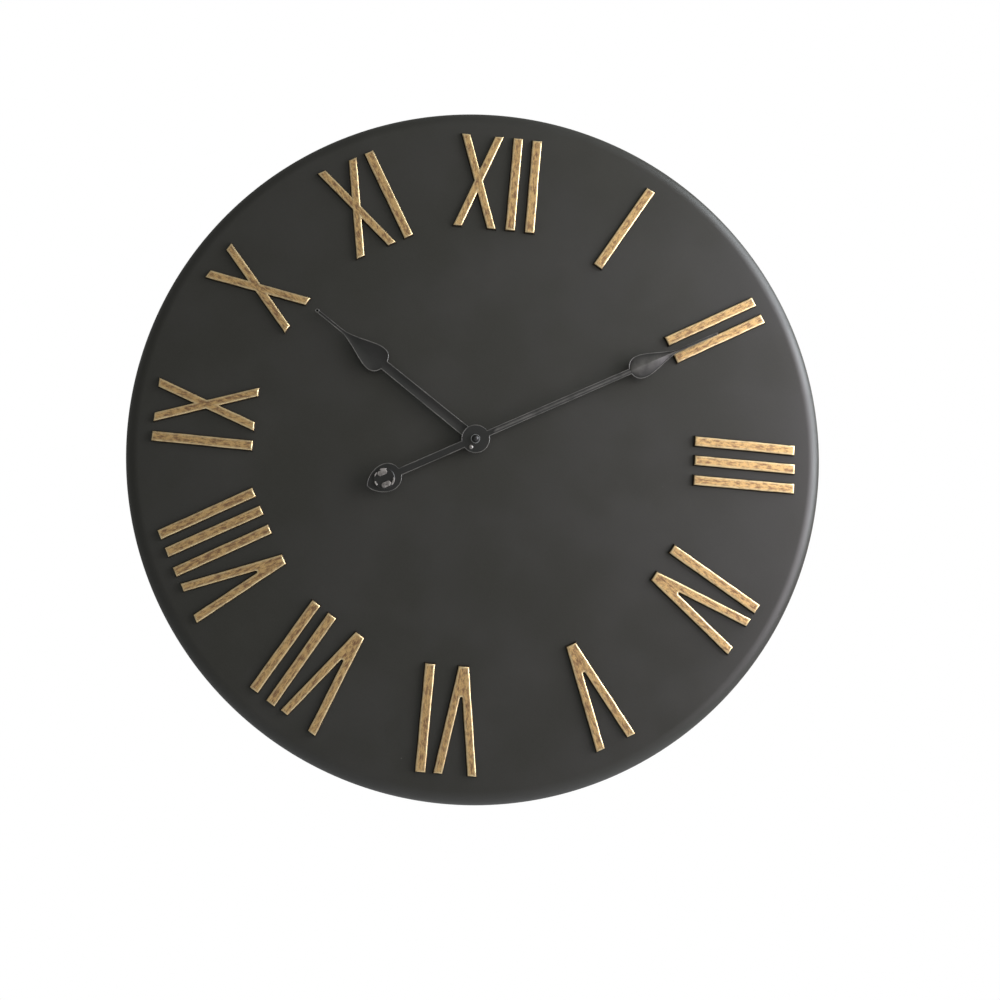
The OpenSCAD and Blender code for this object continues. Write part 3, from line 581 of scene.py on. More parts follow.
def lathe(bm, profile, steps=64, wear=(), closed=False, knurl=None):
    """Spins (radius, z) points round the z axis. `wear` lists the indices of bright edges: worn, and on
    black finishes a painted glint.
    """
    layer = bm.verts.layers.float["edge_wear_and_glint"]
    rings = []
    for k, (r, z) in enumerate(profile):
        ring = []
        for i in range(steps):
            turn = 2 * math.pi * i / steps
            reach = r + (knurl(turn, r, z) if knurl else 0)
            v = bm.verts.new((reach * math.cos(turn), reach * math.sin(turn), z))
            v[layer] = 1.0 if k in wear else 0.0
            ring.append(v)
        rings.append(ring)
    for lower, upper in zip(rings, rings[1:]):
        bridge(bm, lower, upper)
    if closed:
        bridge(bm, rings[-1], rings[0])
    else:
        bm.faces.new(list(reversed(rings[0])))
        bm.faces.new(rings[-1])
    return rings


def inset(outline, distance):
    """Moves a closed outline inwards, keeping its corners sharp."""
    moved = []
    n = len(outline)
    for i, p in enumerate(outline):
        before = (Vector(p) - Vector(outline[i - 1])).normalized()
        after = (Vector(outline[(i + 1) % n]) - Vector(p)).normalized()
        normal = Vector((-before.y - after.y, before.x + after.x))
        if normal.length < 1e-6:
            normal = Vector((-after.y, after.x))
        normal.normalize()
        cosine = max(0.35, normal.dot(Vector((-after.y, after.x))))
        moved.append(tuple(Vector(p) + normal * (distance / cosine)))
    return moved


def slab(bm, outline, levels, caps=True):
    """Stacks the outline at levels of (inset, z, wear, side) from back to front. Wear lightens worn edges
    and on black finishes paints a glint; side darkens the side wall and, past the outline, paints a contact
    shadow.
    """
    wear_and_glint = bm.verts.layers.float["edge_wear_and_glint"]
    side = bm.verts.layers.float["dark_side_and_painted_shadow"]
    rings = []
    for distance, z, wear, dark in levels:
        ring = [bm.verts.new((x, y, z)) for x, y in inset(outline, distance)]
        for v in ring:
            v[wear_and_glint] = wear
            v[side] = dark
        rings.append(ring)
    for lower, upper in zip(rings, rings[1:]):
        bridge(bm, lower, upper)
    if caps:
        ends = [bm.faces.new(list(reversed(rings[0]))), bm.faces.new(rings[-1])]
        for end in ends:
            end.normal_update()
        bmesh.ops.triangulate(bm, faces=ends, ngon_method="EAR_CLIP")
    return rings


def rounded_levels(back, front, radius):
    """Levels of a plate with rounded front and back edges."""
    return [
        (radius, back, 0.3, 0), (radius * 0.3, back + radius * 0.3, 0.6, 0), (0, back + radius, 0, 0),
        (0, front - radius, 0, 0), (radius * 0.3, front - radius * 0.3, 0.6, 0), (radius, front, 0.3, 0),
    ]


def round_corners(outline, radius, steps=4):
    """Replaces each corner of a closed outline by a short curve."""
    soft = []
    n = len(outline)
    for i, p in enumerate(outline):
        corner = Vector(p)
        to_last = Vector(outline[i - 1]) - corner
        to_next = Vector(outline[(i + 1) % n]) - corner
        reach = min(radius, to_last.length * 0.45, to_next.length * 0.45)
        a = corner + to_last.normalized() * reach
        b = corner + to_next.normalized() * reach
        for k in range(steps + 1):
            t = k / steps
            soft.append(tuple(a * (1 - t) ** 2 + corner * 2 * t * (1 - t) + b * t**2))
    return soft


def rectangle(x0, y0, x1, y1):
    return [(x0, y0), (x1, y0), (x1, y1), (x0, y1)]


def turned(bm, matrix, start_at):
    """Turns or moves only the points made since `start_at`."""
    bm.verts.ensure_lookup_table()
    bmesh.ops.transform(bm, matrix=matrix, verts=bm.verts[start_at:])


def to_object(name, bm, matrix=Matrix.Identity(4)):
    bmesh.ops.recalc_face_normals(bm, faces=bm.faces)
    bm.transform(CLOCK_PLANE @ matrix)
    mesh = bpy.data.meshes.new(name)
    bm.to_mesh(mesh)
    bm.free()
    made = bpy.data.objects.new(name, mesh)
    bpy.context.scene.collection.objects.link(made)
    return made


def make(
    name, bm, body, finish_name, replaced=(), matrix=Matrix.Identity(4), angle=32, cutter=None
):
    """Stands a piece upright, gives it its finish and body, and hides the CAD nodes it stands for."""
    piece = to_object(name, bm, matrix)
    if cutter is not None:
        tool = to_object(name + "_cutter", cutter, matrix)
        cut = piece.modifiers.new("cut", "BOOLEAN")
        cut.object = tool
        cut.operation = "DIFFERENCE"
        cut.solver = "EXACT"
        done = piece.evaluated_get(bpy.context.evaluated_depsgraph_get())
        cut_mesh = bpy.data.meshes.new_from_object(done)
        piece.modifiers.clear()
        piece.data = cut_mesh
        bpy.data.objects.remove(tool)
    piece.data.materials.clear()
    piece.data.materials.append(MATERIALS[finish_name])
    piece.data.shade_smooth()
    piece.data.set_sharp_from_angle(angle=math.radians(angle))
    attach(piece, body)
    if replaced:
        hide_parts(*replaced)
    print("made", name, len(piece.data.polygons), "faces on", body)
    return piece


# %% [markdown]
# ## The dial pan
# The dial is spun or pressed from one sheet: a flat face, a rounded shoulder, a short side and a
# hem rolled back on itself so that no raw edge shows. One section turned round the axis gives all of
# it. The turned section is much finer than the CAD solid, because the long highlight on the shoulder
# shows every flat. Sheet this thin is never quite flat, so the face also waves by a few hundredths.

# %% Dial pan
sheet_t = 0.6
shoulder_r = 14
hem_r = 1.8
pad_t = 1.2
bushing_hole_r = 4.05
shoulder_at = dial_r - shoulder_r
shoulder_z = dial_z - shoulder_r
hem_at = dial_r - hem_r
hem_z = pad_t + hem_r
back_z = dial_z - sheet_t
face_rings = 24

front_face = [
    (bushing_hole_r + (shoulder_at - bushing_hole_r) * i / face_rings, dial_z) for i in range(face_rings)
]
back_face = [(r, back_z) for r, z in reversed(front_face)]
profile = front_face + arc(shoulder_at, shoulder_z, shoulder_r, 90, 0, 18)
profile += arc(hem_at, hem_z, hem_r, 0, -250, 16)
profile += arc(hem_at, hem_z, hem_r - sheet_t, -250, 0, 12)
profile += arc(shoulder_at, shoulder_z, shoulder_r - sheet_t, 0, 90, 12) + back_face
bm = new_piece()
lathe(bm, profile, 288, closed=True)
wave_height = 0.07
for v in bm.verts:
    out_from_axis = math.hypot(v.co.x, v.co.y)
    if 30 < out_from_axis < shoulder_at - 1:
        v.co.z += wave_height * noise.noise(Vector((v.co.x, v.co.y, 0)) * 0.011)
make("dial_sheet", bm, "clock_body", "charcoal_paint", ["dial_pan"], angle=40)

# %% [markdown]
# ## The numerals
# Each letter is its own casting on two studs. Its outline follows the same rule as the part:
# the letters of an hour stand side by side, are read clockwise, and have their tops outwards.
# Real castings are filed by hand, so the outline wanders by a tenth of a millimetre or two, the
# crotches are round, and each letter sits a little off its line. The top edge is rounded,
# because that is where the patina is rubbed away.

# %% The rule that places the letters
LETTERS = ["i", "ii", "iii", "iv", "v", "vi", "vii", "viii", "ix", "x", "xi", "xii"]
stroke_w = 8.2
limb_w = 7
x_w = 37.5
v_w = 35
v_foot_w = 8.5
stroke_gap = 8.8
v_gap = 6.2
numeral_h = 85.6
numeral_r = 188
numeral_t = 3
stud_r = 1
stud_inset = 14


def letter_w(c):
    return {"i": stroke_w, "v": v_w, "x": x_w}[c]


def letter_places(letters):
    """Middle of each letter of an hour, to the right of the hour's radial."""
    edge, middles = 0, []
    for k, c in enumerate(letters):
        if k:
            edge += v_gap if "v" in letters[k - 1 : k + 1] else stroke_gap
        middles.append(edge + letter_w(c) / 2)
        edge += letter_w(c)
    return [m - edge / 2 for m in middles]


def leaning_w(run):
    return limb_w * math.hypot(run, numeral_h) / numeral_h


x_stroke = leaning_w(x_w - limb_w)
v_lean = (v_w - v_foot_w) / 2
v_stroke = leaning_w(v_lean)


def outline_i():
    return rectangle(-stroke_w / 2, 0, stroke_w / 2, numeral_h)


def outline_v():
    top = v_w / 2
    crotch = numeral_h - (top - v_stroke - 1) * numeral_h / v_lean
    rounded = [(-1.05, crotch + 0.3), (-0.7, crotch - 0.3), (0, crotch - 0.5)]
    rounded += [(0.7, crotch - 0.3), (1.05, crotch + 0.3)]
    right = [(-v_foot_w / 2, 0), (v_foot_w / 2, 0), (top, numeral_h), (top - v_stroke, numeral_h)]
    return right + rounded[::-1] + [(-top + v_stroke, numeral_h), (-top, numeral_h)]


def outline_x():
    half = x_w / 2
    low = numeral_h * (half - x_stroke) / (2 * half - x_stroke)
    waist = x_stroke / 2
    h = numeral_h
    return [
        (-half, 0), (-half + x_stroke, 0), (0, low), (half - x_stroke, 0), (half, 0), (waist, h / 2),
        (half, h), (half - x_stroke, h), (0, h - low), (-half + x_stroke, h), (-half, h), (-waist, h / 2),
    ]


OUTLINES = {"i": outline_i, "v": outline_v, "x": outline_x}


def filed_by_hand(outline, seed, step=4.5, wander=0.22):
    """Divides the edges and lets their points wander a little."""
    rough = []
    n = len(outline)
    for i, p in enumerate(outline):
        a, b = Vector(p), Vector(outline[(i + 1) % n])
        parts = max(1, round((b - a).length / step))
        across = Vector((a.y - b.y, b.x - a.x)).normalized()
        for k in range(parts):
            at = a.lerp(b, k / parts)
            drift = noise.noise(Vector((at.x * 0.09, at.y * 0.09, seed * 7.3))) * wander
            rough.append(tuple(at + across * drift * (1 if k else 0.3)))
    return rough


def stud_places(c):
    low, high = stud_inset, numeral_h - stud_inset
    if c == "i":
        return [(0, low), (0, high)]
    if c == "v":
        return [(0, low), (-v_w / 2 + v_stroke / 2 + v_lean * stud_inset / numeral_h, high)]
    return [((x_w - x_stroke) * (y / numeral_h - 0.5), y) for y in (low, high)]


def clockwise(degrees):
    return Matrix.Rotation(-math.radians(degrees), 4, "Z")


# %% Cast and file every letter
edge_round = 0.85
top = dial_z + numeral_t
# The two lowest levels reach 0.8 mm past the outline onto the dial and are fully dark: a painted contact
# shadow round each letter's foot.
numeral_levels = [
    (-0.8, dial_z - 0.02, 0.0, 1.0),
    (-0.75, dial_z + 0.3, 0.0, 1.0),
    (0.0, top - 1.0, 0.1, 0.95),
    (0.1, top - 0.55, 0.8, 0.15),
    (0.38, top - 0.18, 1.0, 0.0),
    (edge_round, top, 0.85, 0.0),
    (1.35, top, 0.5, 0.0),
    (2.0, top, 0.0, 0.0),
]
dice = random.Random(11)
stud_tops = []
for hour, letters in enumerate(LETTERS, start=1):
    for k, (c, middle) in enumerate(zip(letters, letter_places(letters)), start=1):
        seed = hour * 10 + k
        bm = new_piece()
        slab(bm, filed_by_hand(OUTLINES[c](), seed), numeral_levels)
        place_on_stroke = bm.verts.layers.float_vector["stroke_place"]
        for v in bm.verts:
            v[place_on_stroke] = Vector((v.co.x, v.co.y + v.co.z, seed * 37.0))
        slip = Matrix.Translation((dice.uniform(-0.35, 0.35), dice.uniform(-0.5, 0.5), 0))
        tilt = Matrix.Rotation(math.radians(dice.uniform(-0.35, 0.35)), 4, "Z")
        bmesh.ops.transform(bm, matrix=slip @ tilt, verts=bm.verts)
        for x, y in stud_places(c):
            first = len(bm.verts)
            tip = back_z - 1.6
            lathe(bm, [(0.5, tip), (stud_r, tip + 0.4), (stud_r, dial_z + 1)], 16)
            turned(bm, Matrix.Translation((x, y, 0)), first)
            stud_tops.append(clockwise(30 * hour) @ Vector((middle + x, numeral_r + y, 0)))
        stand = clockwise(30 * hour) @ Matrix.Translation((middle, numeral_r, 0))
        node = f"numeral_{hour:02d}_{c}{k}"
        make(f"brass_{hour:02d}_{c}{k}", bm, "clock_body", "antique_brass", [node], stand, angle=50)
print("studs", len(stud_tops))

# %% [markdown]
# ## The hands
# Both hands are stamped from one thin sheet: a round hub, a long stick, a spade and a fine needle
# that ends in a small round tip. The stamping tool raises a thin border all round, and creases
# the minute hand along its middle. The outline is worked out as a half width for every distance
# from the axis, which makes the left and right sides exact mirror images. Insetting that outline
# a few times gives the border, and a row of points down the middle carries the crease.

# %% The outline of a hand


def spade_half(u, power, half_w):
    """Half width of a spade at share u of its length: round at 0, drawn out at 1."""
    if not 0 < u < 1:
        return 0
    peak = 0.5 / (0.5 + power)
    return half_w * math.sqrt(u / peak) * ((1 - u) / (1 - peak)) ** power


def round_half(y, at, r):
    return math.sqrt(max(0, r * r - (y - at) ** 2))


def taper_half(y, y0, y1, w0, w1):
    return (w0 + (w1 - w0) * (y - y0) / (y1 - y0)) / 2 if y0 <= y <= y1 else 0


def round_stations(at, r, steps=26):
    return [at - r * math.cos(math.pi * i / steps) for i in range(steps + 1)]


def spade_stations(start, length, steps=30):
    return [start + length * (i / steps) ** 2 for i in range(1, steps)]


def straight_stations(y0, y1, step=4):
    parts = max(2, round(abs(y1 - y0) / step))
    return [y0 + (y1 - y0) * i / parts for i in range(parts + 1)]


def hand_rows(half_width, stations):
    """Sorted (distance, half width) rows from the tail's end to the tip."""
    rows = []
    for y in sorted(stations):
        if not rows or y - rows[-1][0] > 0.12:
            rows.append((y, half_width(y)))
    return rows


def stamp_hand(bm, rows, back, front, border, crease):
    """A sheet hand from its rows, with levels at its border and a creased middle."""
    wear_and_glint = bm.verts.layers.float["edge_wear_and_glint"]
    inner_rows = [(y, w) for y, w in rows if w > 0.01]
    first, last = (0, rows[0][0]), (0, rows[-1][0])
    outline = [first] + [(w, y) for y, w in inner_rows] + [last]
    outline += [(-w, y) for y, w in reversed(inner_rows)]
    # the wear values lighten the raised border all round: partly thinned enamel, partly a painted highlight
    levels = [
        (0.18, back, 0, 0), (0.0, back + 0.2, 0.2, 0), (0.0, front - 0.12, 0.5, 0),
        (border * 0.25, front + 0.06, 1, 0), (border * 0.6, front + 0.06, 0.8, 0),
        (border, front - 0.1, 0, 0),
    ]
    rings = slab(bm, outline, levels, caps=False)
    for ring in rings:
        for v in ring:
            v.co.z += crease(v.co.y) * CREASE_AT_EDGE
    count = len(inner_rows)
    for ring, rise in ((rings[-1], 1.0), (rings[0], 0.9)):
        right = ring[1 : count + 1]
        left = ring[:count + 1 : -1]
        middle = []
        for a, b in zip(right, left):
            ridge = bm.verts.new(((a.co.x + b.co.x) / 2, (a.co.y + b.co.y) / 2, a.co.z))
            ridge.co.z += crease(a.co.y) * rise
            # a lighter line down the creased ridge: a painted highlight on the crease
            ridge[wear_and_glint] = 0.75 if rise == 1.0 and crease(a.co.y) > 0.3 else 0.0
            middle.append(ridge)
        for i in range(count - 1):
            bm.faces.new((right[i], right[i + 1], middle[i + 1], middle[i]))
            bm.faces.new((middle[i], middle[i + 1], left[i + 1], left[i]))
        bm.faces.new((ring[0], right[0], middle[0], left[0]))
        bm.faces.new((right[-1], ring[count + 1], left[-1], middle[-1]))


def points_to(node):
    """Direction of a hand in degrees clockwise from XII, from the far end of its CAD solid."""
    far = [v.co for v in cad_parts[node].data.vertices]
    far = [Vector((c.x, c.z - axis_height * MM)) for c in far]
    reach = max(p.length for p in far)
    tip = sum((p for p in far if p.length > 0.985 * reach), Vector((0, 0)))
    print(node, "reaches", round(reach / MM, 1), "mm")
    return math.degrees(math.atan2(tip.x, tip.y)), reach / MM


def hole(r, z0, z1):
    """A round cutter."""
    bm = new_piece()
    lathe(bm, [(r, z0), (r, z1)], 48)
    return bm


CREASE_AT_EDGE = 0.0
COLLET_HUB_R = 3.8

# %% [markdown]
# ## Hour hand
# The hour hand is a flat teardrop with a thin raised border, and a small ring at its tip.

# %% Hour hand
hour_turn, hour_len = points_to("hour_hand")
hour_back, hour_front = depth("hour_hand")
HOUR_TIP_R = 2
HOUR_NEEDLE = 14
HOUR_SPADE = 64
HOUR_HUB_R = 10
hour_spade_at = hour_len - HOUR_NEEDLE - HOUR_SPADE
hour_tip_at = hour_len - HOUR_TIP_R


def hour_half(y):
    return max(
        round_half(y, 0, HOUR_HUB_R),
        taper_half(y, 0, hour_spade_at + 2, 9.6, 8.7),
        spade_half((y - hour_spade_at) / HOUR_SPADE, 2.6, 23.5 / 2),
        taper_half(y, hour_spade_at + HOUR_SPADE * 0.7, hour_tip_at, 3, 3),
        round_half(y, hour_tip_at, HOUR_TIP_R),
    )


CUT_PAST = 2
stations = round_stations(0, HOUR_HUB_R) + straight_stations(HOUR_HUB_R, hour_spade_at)
stations += spade_stations(hour_spade_at, HOUR_SPADE)
stations += straight_stations(hour_spade_at + HOUR_SPADE, hour_tip_at)
stations += round_stations(hour_tip_at, HOUR_TIP_R, 12)
bm = new_piece()
stamp_hand(bm, hand_rows(hour_half, stations), hour_back, hour_front, 1.0, lambda y: 0.0)
first = len(bm.verts)
# the tip ring's top is marked worn, which paints a highlight on it
lathe(bm, arc(1.35, hour_front, 0.45, 180, 0, 6), 24, wear=(2, 3, 4))
turned(bm, Matrix.Translation((0, hour_tip_at, 0)), first)
make(
    "hour_hand_sheet", bm, "hour_set", "black_enamel", ["hour_hand"], clockwise(hour_turn),
    cutter=hole(COLLET_HUB_R, hour_back - CUT_PAST, hour_front + CUT_PAST),
)

# %% [markdown]
# ## Minute hand
# The minute hand is creased: its stick and its arrow-like spade each have two facets that meet in
# a ridge. Its hub and its leaf-shaped tail are flat, with the same thin border.

# %% Minute hand
minute_turn, minute_len = points_to("minute_hand")
minute_back, minute_front = depth("minute_hand")
MINUTE_TIP_R = 1.3
MINUTE_NEEDLE = 28
MINUTE_SPADE = 56
MINUTE_HUB_R = 12.1
LEAF_AT = 69
LEAF_LEN = 31
LEAF_W = 24
minute_spade_at = minute_len - MINUTE_NEEDLE - MINUTE_SPADE
minute_tip_at = minute_len - MINUTE_TIP_R


def minute_half(y):
    return max(
        round_half(y, 0, MINUTE_HUB_R),
        taper_half(y, 0, minute_spade_at + 1, 5.3, 5),
        spade_half((y - minute_spade_at) / MINUTE_SPADE, 2.1, 20.4 / 2),
        taper_half(y, minute_spade_at + MINUTE_SPADE * 0.7, minute_tip_at, 2.4, 2.4),
        round_half(y, minute_tip_at, MINUTE_TIP_R),
        taper_half(-y, 0, LEAF_AT + 2, 6.5, 6.5),
        spade_half((-y - LEAF_AT) / LEAF_LEN, 0.75, LEAF_W / 2),
    )


def minute_crease(y):
    """Height of the ridge: none on the hub and the tail, most on the spade."""
    into_stick = min(1, max(0, (y - MINUTE_HUB_R - 1) / 8))
    into_spade = min(1, max(0, (y - minute_spade_at) / 6))
    to_needle = min(1, max(0, (minute_tip_at - 4 - y) / 36))
    return (0.5 * into_stick + 1.6 * into_spade) * (0.15 + 0.85 * to_needle) if y > 0 else 0.0


stations = round_stations(0, MINUTE_HUB_R) + straight_stations(MINUTE_HUB_R, minute_spade_at)
stations += spade_stations(minute_spade_at, MINUTE_SPADE)
stations += straight_stations(minute_spade_at + MINUTE_SPADE, minute_tip_at, 3)
stations += round_stations(minute_tip_at, MINUTE_TIP_R, 12) + straight_stations(-LEAF_AT, -MINUTE_HUB_R)
stations += [-y for y in spade_stations(LEAF_AT, LEAF_LEN)] + [-LEAF_AT - LEAF_LEN]
bm = new_piece()
stamp_hand(bm, hand_rows(minute_half, stations), minute_back, minute_front, 0.85, minute_crease)
first = len(bm.verts)
# the tip ring's top is marked worn, which paints a highlight on it
lathe(bm, arc(0.8, minute_front, 0.42, 180, 0, 6), 20, wear=(2, 3, 4))
turned(bm, Matrix.Translation((0, minute_tip_at, 0)), first)
make(
    "minute_hand_sheet", bm, "minute_set", "black_enamel", ["minute_hand"], clockwise(minute_turn),
    angle=9, cutter=hole(COLLET_HUB_R, minute_back - CUT_PAST, minute_front + CUT_PAST),
)

# %% [markdown]
# ## Hub: collets, rivet and nut
# Each hand is riveted to a small collet that grips its pipe. A domed nut with a milled edge
# holds the minute hand, and a rivet beside it stops the hand from turning on its collet.

# %% Hand nut and rivet
nut_back = depth("hand_nut")[0]
NUT_R = 3.4
NUT_DOME_R = 3
nut_edge = nut_back + 1.4


def milled(turn, r, z):
    """A shallow milled edge on the nut's rim."""
    return 0.09 * math.cos(36 * turn) if r > NUT_R - 0.05 else 0


dome = arc(0, nut_edge, NUT_DOME_R, 0, 86, 10)
rim = [(1.3, nut_back + 0.02), (NUT_R - 0.25, nut_back + 0.02)]
rim += [(NUT_R, nut_back + 0.22), (NUT_R, nut_edge - 0.3)]
bm = new_piece()
lathe(bm, rim + [(NUT_R - 0.25, nut_edge)] + dome, 144, knurl=milled)
make("domed_nut", bm, "minute_set", "black_enamel", ["hand_nut"])
rivet = [(1.9, minute_front - 0.1), (1.9, minute_front + 0.25), (1.6, minute_front + 0.7)]
rivet += [(1.0, minute_front + 1.0), (0.4, minute_front + 1.08)]
RIVET_FROM_AXIS = 8
RIVET_TURN = 204
bm = new_piece()
# the rivet's rounded top is marked worn, which paints a glint on it
lathe(bm, rivet, 28, wear=(2, 3, 4))
rivet_place = clockwise(RIVET_TURN) @ Matrix.Translation((0, RIVET_FROM_AXIS, 0))
make("hub_rivet", bm, "minute_set", "black_gloss", (), rivet_place)

# %% [markdown]
# ## Counterweight
# A steel disc under the tail balances the long minute hand. It is held by two pressed
# lugs and by a bead of glue that has broken into arcs. Each lug is a pill with rounded edges,
# and each stretch of the bead is a tube that swells and thins along its way. The lugs' tops
# and the bead's upper side are light grey: partly wear, partly a painted glint.

# %% Counterweight on the tail
weight_back, weight_front = depth("tail_counterweight")
WEIGHT_R = 9
WEIGHT_SHARE = 0.48
WEIGHT_AT = LEAF_AT + WEIGHT_SHARE * LEAF_LEN
tail = clockwise(minute_turn + 180) @ Matrix.Translation((0, WEIGHT_AT, 0))
disc_t = (weight_front - weight_back) * 0.45
disc_top = weight_back + disc_t
section = [(0.4, weight_back), (WEIGHT_R - 0.2, weight_back), (WEIGHT_R, weight_back + 0.2)]
section += [(WEIGHT_R, disc_top - 0.25), (WEIGHT_R - 0.3, disc_top)]
section += [(6, disc_top - 0.1), (0.4, disc_top - 0.12)]
bm = new_piece()
lathe(bm, section, 72, wear=())
make("counterweight_disc", bm, "minute_set", "black_enamel", ["tail_counterweight"], tail)


def glue_arc(bm, r, start, end, thick, seed):
    """A stretch of a bead of glue lying on the disc."""
    sections, around = 18, 8
    wear_and_glint = bm.verts.layers.float["edge_wear_and_glint"]
    rings = []
    for i in range(sections + 1):
        share = i / sections
        turn = math.radians(start + (end - start) * share)
        swell = math.sin(math.pi * share) ** 0.4 * (1 + 0.25 * noise.noise(Vector((share * 4, seed, 0))))
        girth = max(0.05, thick * swell)
        ring = []
        for k in range(around):
            a = 2 * math.pi * k / around
            reach = r + girth * math.cos(a)
            lift = min(disc_top + girth * 0.9 * math.sin(a) + 0.1, weight_front)
            v = bm.verts.new((reach * math.sin(turn), reach * math.cos(turn), lift))
            # the upper side of the bead is marked worn: a painted glint along its top
            v[wear_and_glint] = 0.8 if math.sin(a) > 0.5 else 0.0
            ring.append(v)
        rings.append(ring)
    for lower, upper in zip(rings, rings[1:]):
        bridge(bm, lower, upper)
    bm.faces.new(list(reversed(rings[0])))
    bm.faces.new(rings[-1])


def lug(bm, x, y, length, width):
    """A pressed lug: a pill with a dished top."""
    pill = arc(0, (length - width) / 2, width / 2, 0, 180, 12)
    pill += arc(0, (width - length) / 2, width / 2, 180, 360, 12)
    pill = [(px + x, py + y) for px, py in pill]
    # the wear values turn the whole top of the lug light grey: a painted glint, partly wear
    levels = [
        (0, disc_top - 0.2, 0, 0), (0, weight_front - 0.55, 0.2, 0), (0.2, weight_front - 0.18, 0.7, 0),
        (0.55, weight_front, 1, 0), (1.0, weight_front - 0.02, 1, 0), (1.6, weight_front - 0.08, 0.9, 0),
    ]
    slab(bm, pill, levels)


bm = new_piece()
BEAD_R = 8.1
BEAD_PARTS = [(196, 246, 1.0), (84, 128, 0.95), (338, 368, 0.9), (34, 62, 0.75)]
for index, (start_turn, end_turn, thick) in enumerate(BEAD_PARTS):
    glue_arc(bm, BEAD_R, start_turn, end_turn, thick, index * 3.7)
for side in (-1, 1):
    lug(bm, side * 5.1, side * -0.4, 8.6, 4.8)
make("counterweight_lugs", bm, "minute_set", "black_gloss", (), tail)

# %% [markdown]
# ## Washer and nut on the bushing
# Behind the hands a thin washer and a hexagonal brass nut clamp the movement to the dial.
# The nut's corners are chamfered the way a turned hexagon bar is: a cone cuts them.

# %% Dial washer and fixing nut
washer_back, washer_front = depth("dial_washer")
washer_r = size("dial_washer")[0] / 2
BUSHING_R = 4
rim = [(BUSHING_R + 0.1, washer_back), (washer_r - 0.1, washer_back), (washer_r, washer_back + 0.1)]
rim += [(washer_r, washer_front - 0.12), (washer_r - 0.12, washer_front), (BUSHING_R + 0.1, washer_front)]
bm = new_piece()
lathe(bm, rim, 72, wear=(3, 4), closed=True)
make("thin_washer", bm, "clock_body", "zinc_steel", ["dial_washer"])

nut_low, nut_high = depth("fixing_nut")
NUT_FLATS = 11


def hexagon(turn, r, z):
    """Difference between a hexagon and a circle of its corner radius, cut back by the chamfer."""
    if r < BUSHING_R + 0.5:
        return 0
    flat = NUT_FLATS / 2 / math.cos((turn % (math.pi / 3)) - math.pi / 6)
    return min(flat, r) - r


corner = NUT_FLATS / math.sqrt(3)
rim = [(BUSHING_R, nut_low + 0.02), (corner - 0.7, nut_low + 0.02), (corner, nut_low + 0.4)]
rim += [(corner, nut_high - 0.45), (corner - 0.8, nut_high)]
rim += [(BUSHING_R + 0.4, nut_high), (BUSHING_R, nut_high - 0.3)]
bm = new_piece()
lathe(bm, rim, 96, wear=(3, 4), closed=True, knurl=hexagon)
make("brass_hexagon_nut", bm, "clock_body", "plain_brass", ["fixing_nut"])

# %% [markdown]
# ## Behind the dial: push nuts
# Each stud is held by a spring-steel push nut: a dished washer with slits that bite into the stud.
# The slits are cut by letting the inner edge rise and fall round the hole.

# %% Push nuts on every stud
push_back, push_front = depth("stud_push_nuts")
PUSH_R = 4


def slit(turn, r, z):
    """Six teeth round the hole of a push nut."""
    return 0.75 * max(0, math.cos(6 * turn)) ** 8 if r < 1.5 else 0


dished = [(1.05, push_back), (2.0, push_back + 0.05), (3.0, push_front - 0.25), (PUSH_R, push_front - 0.22)]
dished += [(PUSH_R, push_front), (3.0, push_front), (2.0, push_back + 0.3), (1.05, push_back + 0.25)]
bm = new_piece()
for spot in stud_tops:
    first = len(bm.verts)
    lathe(bm, dished, 36, closed=True, knurl=slit)
    turned(bm, Matrix.Translation((spot.x, spot.y, 0)), first)
make("push_nuts", bm, "clock_body", "zinc_steel", ["stud_push_nuts"])

# %% [markdown]
# ## Battery
# The cell lies on its side in the bay. It is a steel can in a shrunk sleeve: the sleeve's ends
# curl over the can, and the bare nub and the bare base show at either end.
# Both are spun round one axis, which a single lathe profile each can do.

# %% AA cell
cell_w = size("battery")[0]
cell_x, cell_y = centre("battery")
cell_low, cell_high = depth("battery")
CELL_R = 7.1
NUB_LEN = 1.2
can_len = cell_w - NUB_LEN
lay_down = (
    Matrix.Translation((cell_x + cell_w / 2 - NUB_LEN, cell_y, (cell_low + cell_high) / 2))
    @ Matrix.Rotation(math.radians(-90), 4, "Y")
)
sleeve = [(CELL_R - 0.9, 0.02), (CELL_R - 0.35, 0.0), (CELL_R, 0.35), (CELL_R, can_len - 0.35)]
sleeve += [(CELL_R - 0.35, can_len), (CELL_R - 0.9, can_len - 0.02), (CELL_R - 0.9, can_len - 0.4)]
bm = new_piece()
sleeve += [(CELL_R - 0.15, can_len - 0.6), (CELL_R - 0.15, 0.6), (CELL_R - 0.9, 0.4)]
lathe(bm, sleeve, 96, closed=True)
make("cell_sleeve", bm, "clock_body", "battery_sleeve", ["battery"], lay_down)
can = [(0.3, -NUB_LEN), (2.2, -NUB_LEN), (2.6, -NUB_LEN + 0.25), (2.7, -0.1), (3.2, 0.12)]
can += [(CELL_R - 0.5, 0.14), (CELL_R - 0.16, 0.62), (CELL_R - 0.16, can_len - 0.62)]
can += [(CELL_R - 0.5, can_len - 0.12), (4.6, can_len - 0.1), (4.2, can_len - 0.3), (0.3, can_len - 0.3)]
bm = new_piece()
lathe(bm, can, 72, wear=(2, 3))
make("cell_can", bm, "clock_body", "zinc_steel", (), lay_down)

# %% [markdown]
# ## Hanger
# The hanger is a strip bent into a top hat and spot welded behind the dial. Its raised
# part rests near the wall and carries the keyhole that goes over a screw head.
# The strip is drawn as one outline seen from above, so its bends are round inside and out.
# Known fault: the keyhole cut at the end of this cell takes the whole strip away, and only the
# eight weld spots are left. Without the cut the strip is there, but has no keyhole.

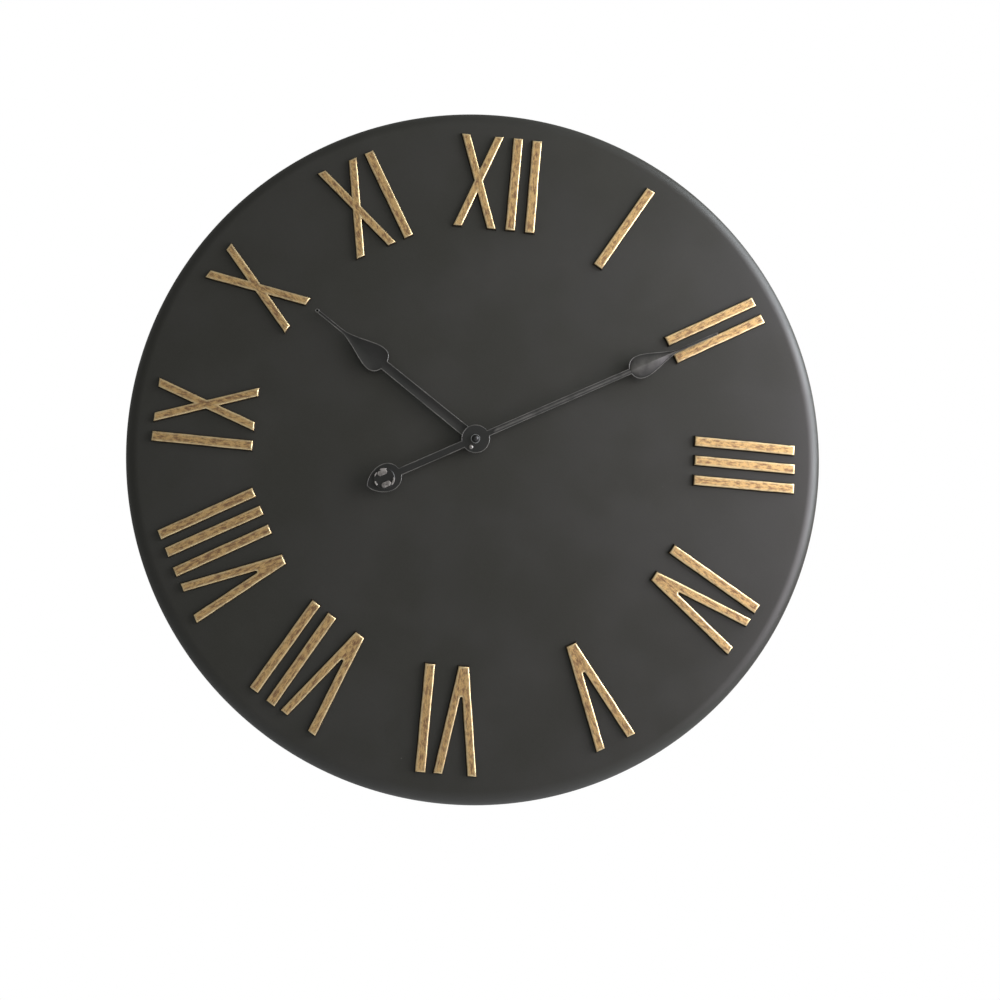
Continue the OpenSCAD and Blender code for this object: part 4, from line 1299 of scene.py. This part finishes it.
# %% Hanger bracket
hanger_w = 60
hanger_low = -18
hanger_h = 44
hanger_t = 1.5
foot = 16
spot_inset = 5
spot_gap = 6
spot_from_end = 9
hanger_y = -axis_height
half = hanger_w / 2
out_x = half - hanger_t + foot
outer = [
    (-out_x, back_z), (-out_x, back_z - hanger_t), (-half, back_z - hanger_t), (-half, 0), (half, 0),
    (half, back_z - hanger_t), (out_x, back_z - hanger_t), (out_x, back_z), (half - hanger_t, back_z),
    (half - hanger_t, hanger_t), (-half + hanger_t, hanger_t), (-half + hanger_t, back_z),
]
strip = round_corners(outer, 0.9, 3)
bm = new_piece()
slab(bm, strip, rounded_levels(0, hanger_h, 0.25))
bmesh.ops.transform(bm, matrix=Matrix.Rotation(math.radians(90), 4, "X"), verts=bm.verts)
bmesh.ops.transform(bm, matrix=Matrix.Translation((0, hanger_y + hanger_low + hanger_h, 0)), verts=bm.verts)
near_spot = out_x - spot_inset
far_spot = near_spot - spot_gap
for x in (-near_spot, -far_spot, far_spot, near_spot):
    for y in (hanger_low + spot_from_end, hanger_low + hanger_h - spot_from_end):
        first = len(bm.verts)
        spot = [(0.3, -0.02), (1.2, -0.02), (1.7, -0.18), (2.3, -0.14), (2.6, 0.04)]
        lathe(bm, [(r, back_z - hanger_t + z) for r, z in spot], 24, wear=(2, 3))
        turned(bm, Matrix.Translation((x, hanger_y + y, 0)), first)
key = new_piece()
slot_w, slot_len, key_r = 5, 13, 5
lathe(key, [(key_r, -CUT_PAST), (key_r, hanger_t + CUT_PAST)], 64)
slot_outline = rectangle(-slot_w / 2, 2, slot_w / 2, slot_len)[:2] + arc(0, slot_len, slot_w / 2, 0, 180, 16)
slab(key, slot_outline, [(0, -2.5, 0, 0), (0, hanger_t + 2.5, 0, 0)])
bmesh.ops.transform(key, matrix=Matrix.Translation((0, hanger_y, 0)), verts=key.verts)
make("top_hat_hanger", bm, "clock_body", "zinc_steel", ["hanger_bracket"], cutter=key)

# %% [markdown]
# ## Wall pads
# Five soft pads on the hem keep the pan from marking the wall. Each is a short curved block.

# %% Wall pads
pad_w = 16
pad_edge = 0.4
bm = new_piece()
for turn in (30, 150, 210, 270, 330):
    reach = math.degrees(pad_w / 2 / dial_r)
    outline = arc(0, 0, dial_r - pad_edge, turn - reach, turn + reach, 10)
    outline += arc(0, 0, dial_r - 2 * hem_r + pad_edge, turn + reach, turn - reach, 10)
    slab(bm, round_corners(outline, 0.5, 2), rounded_levels(0, pad_t, 0.3))
make("soft_pads", bm, "clock_body", "black_rubber", ["wall_pads"])
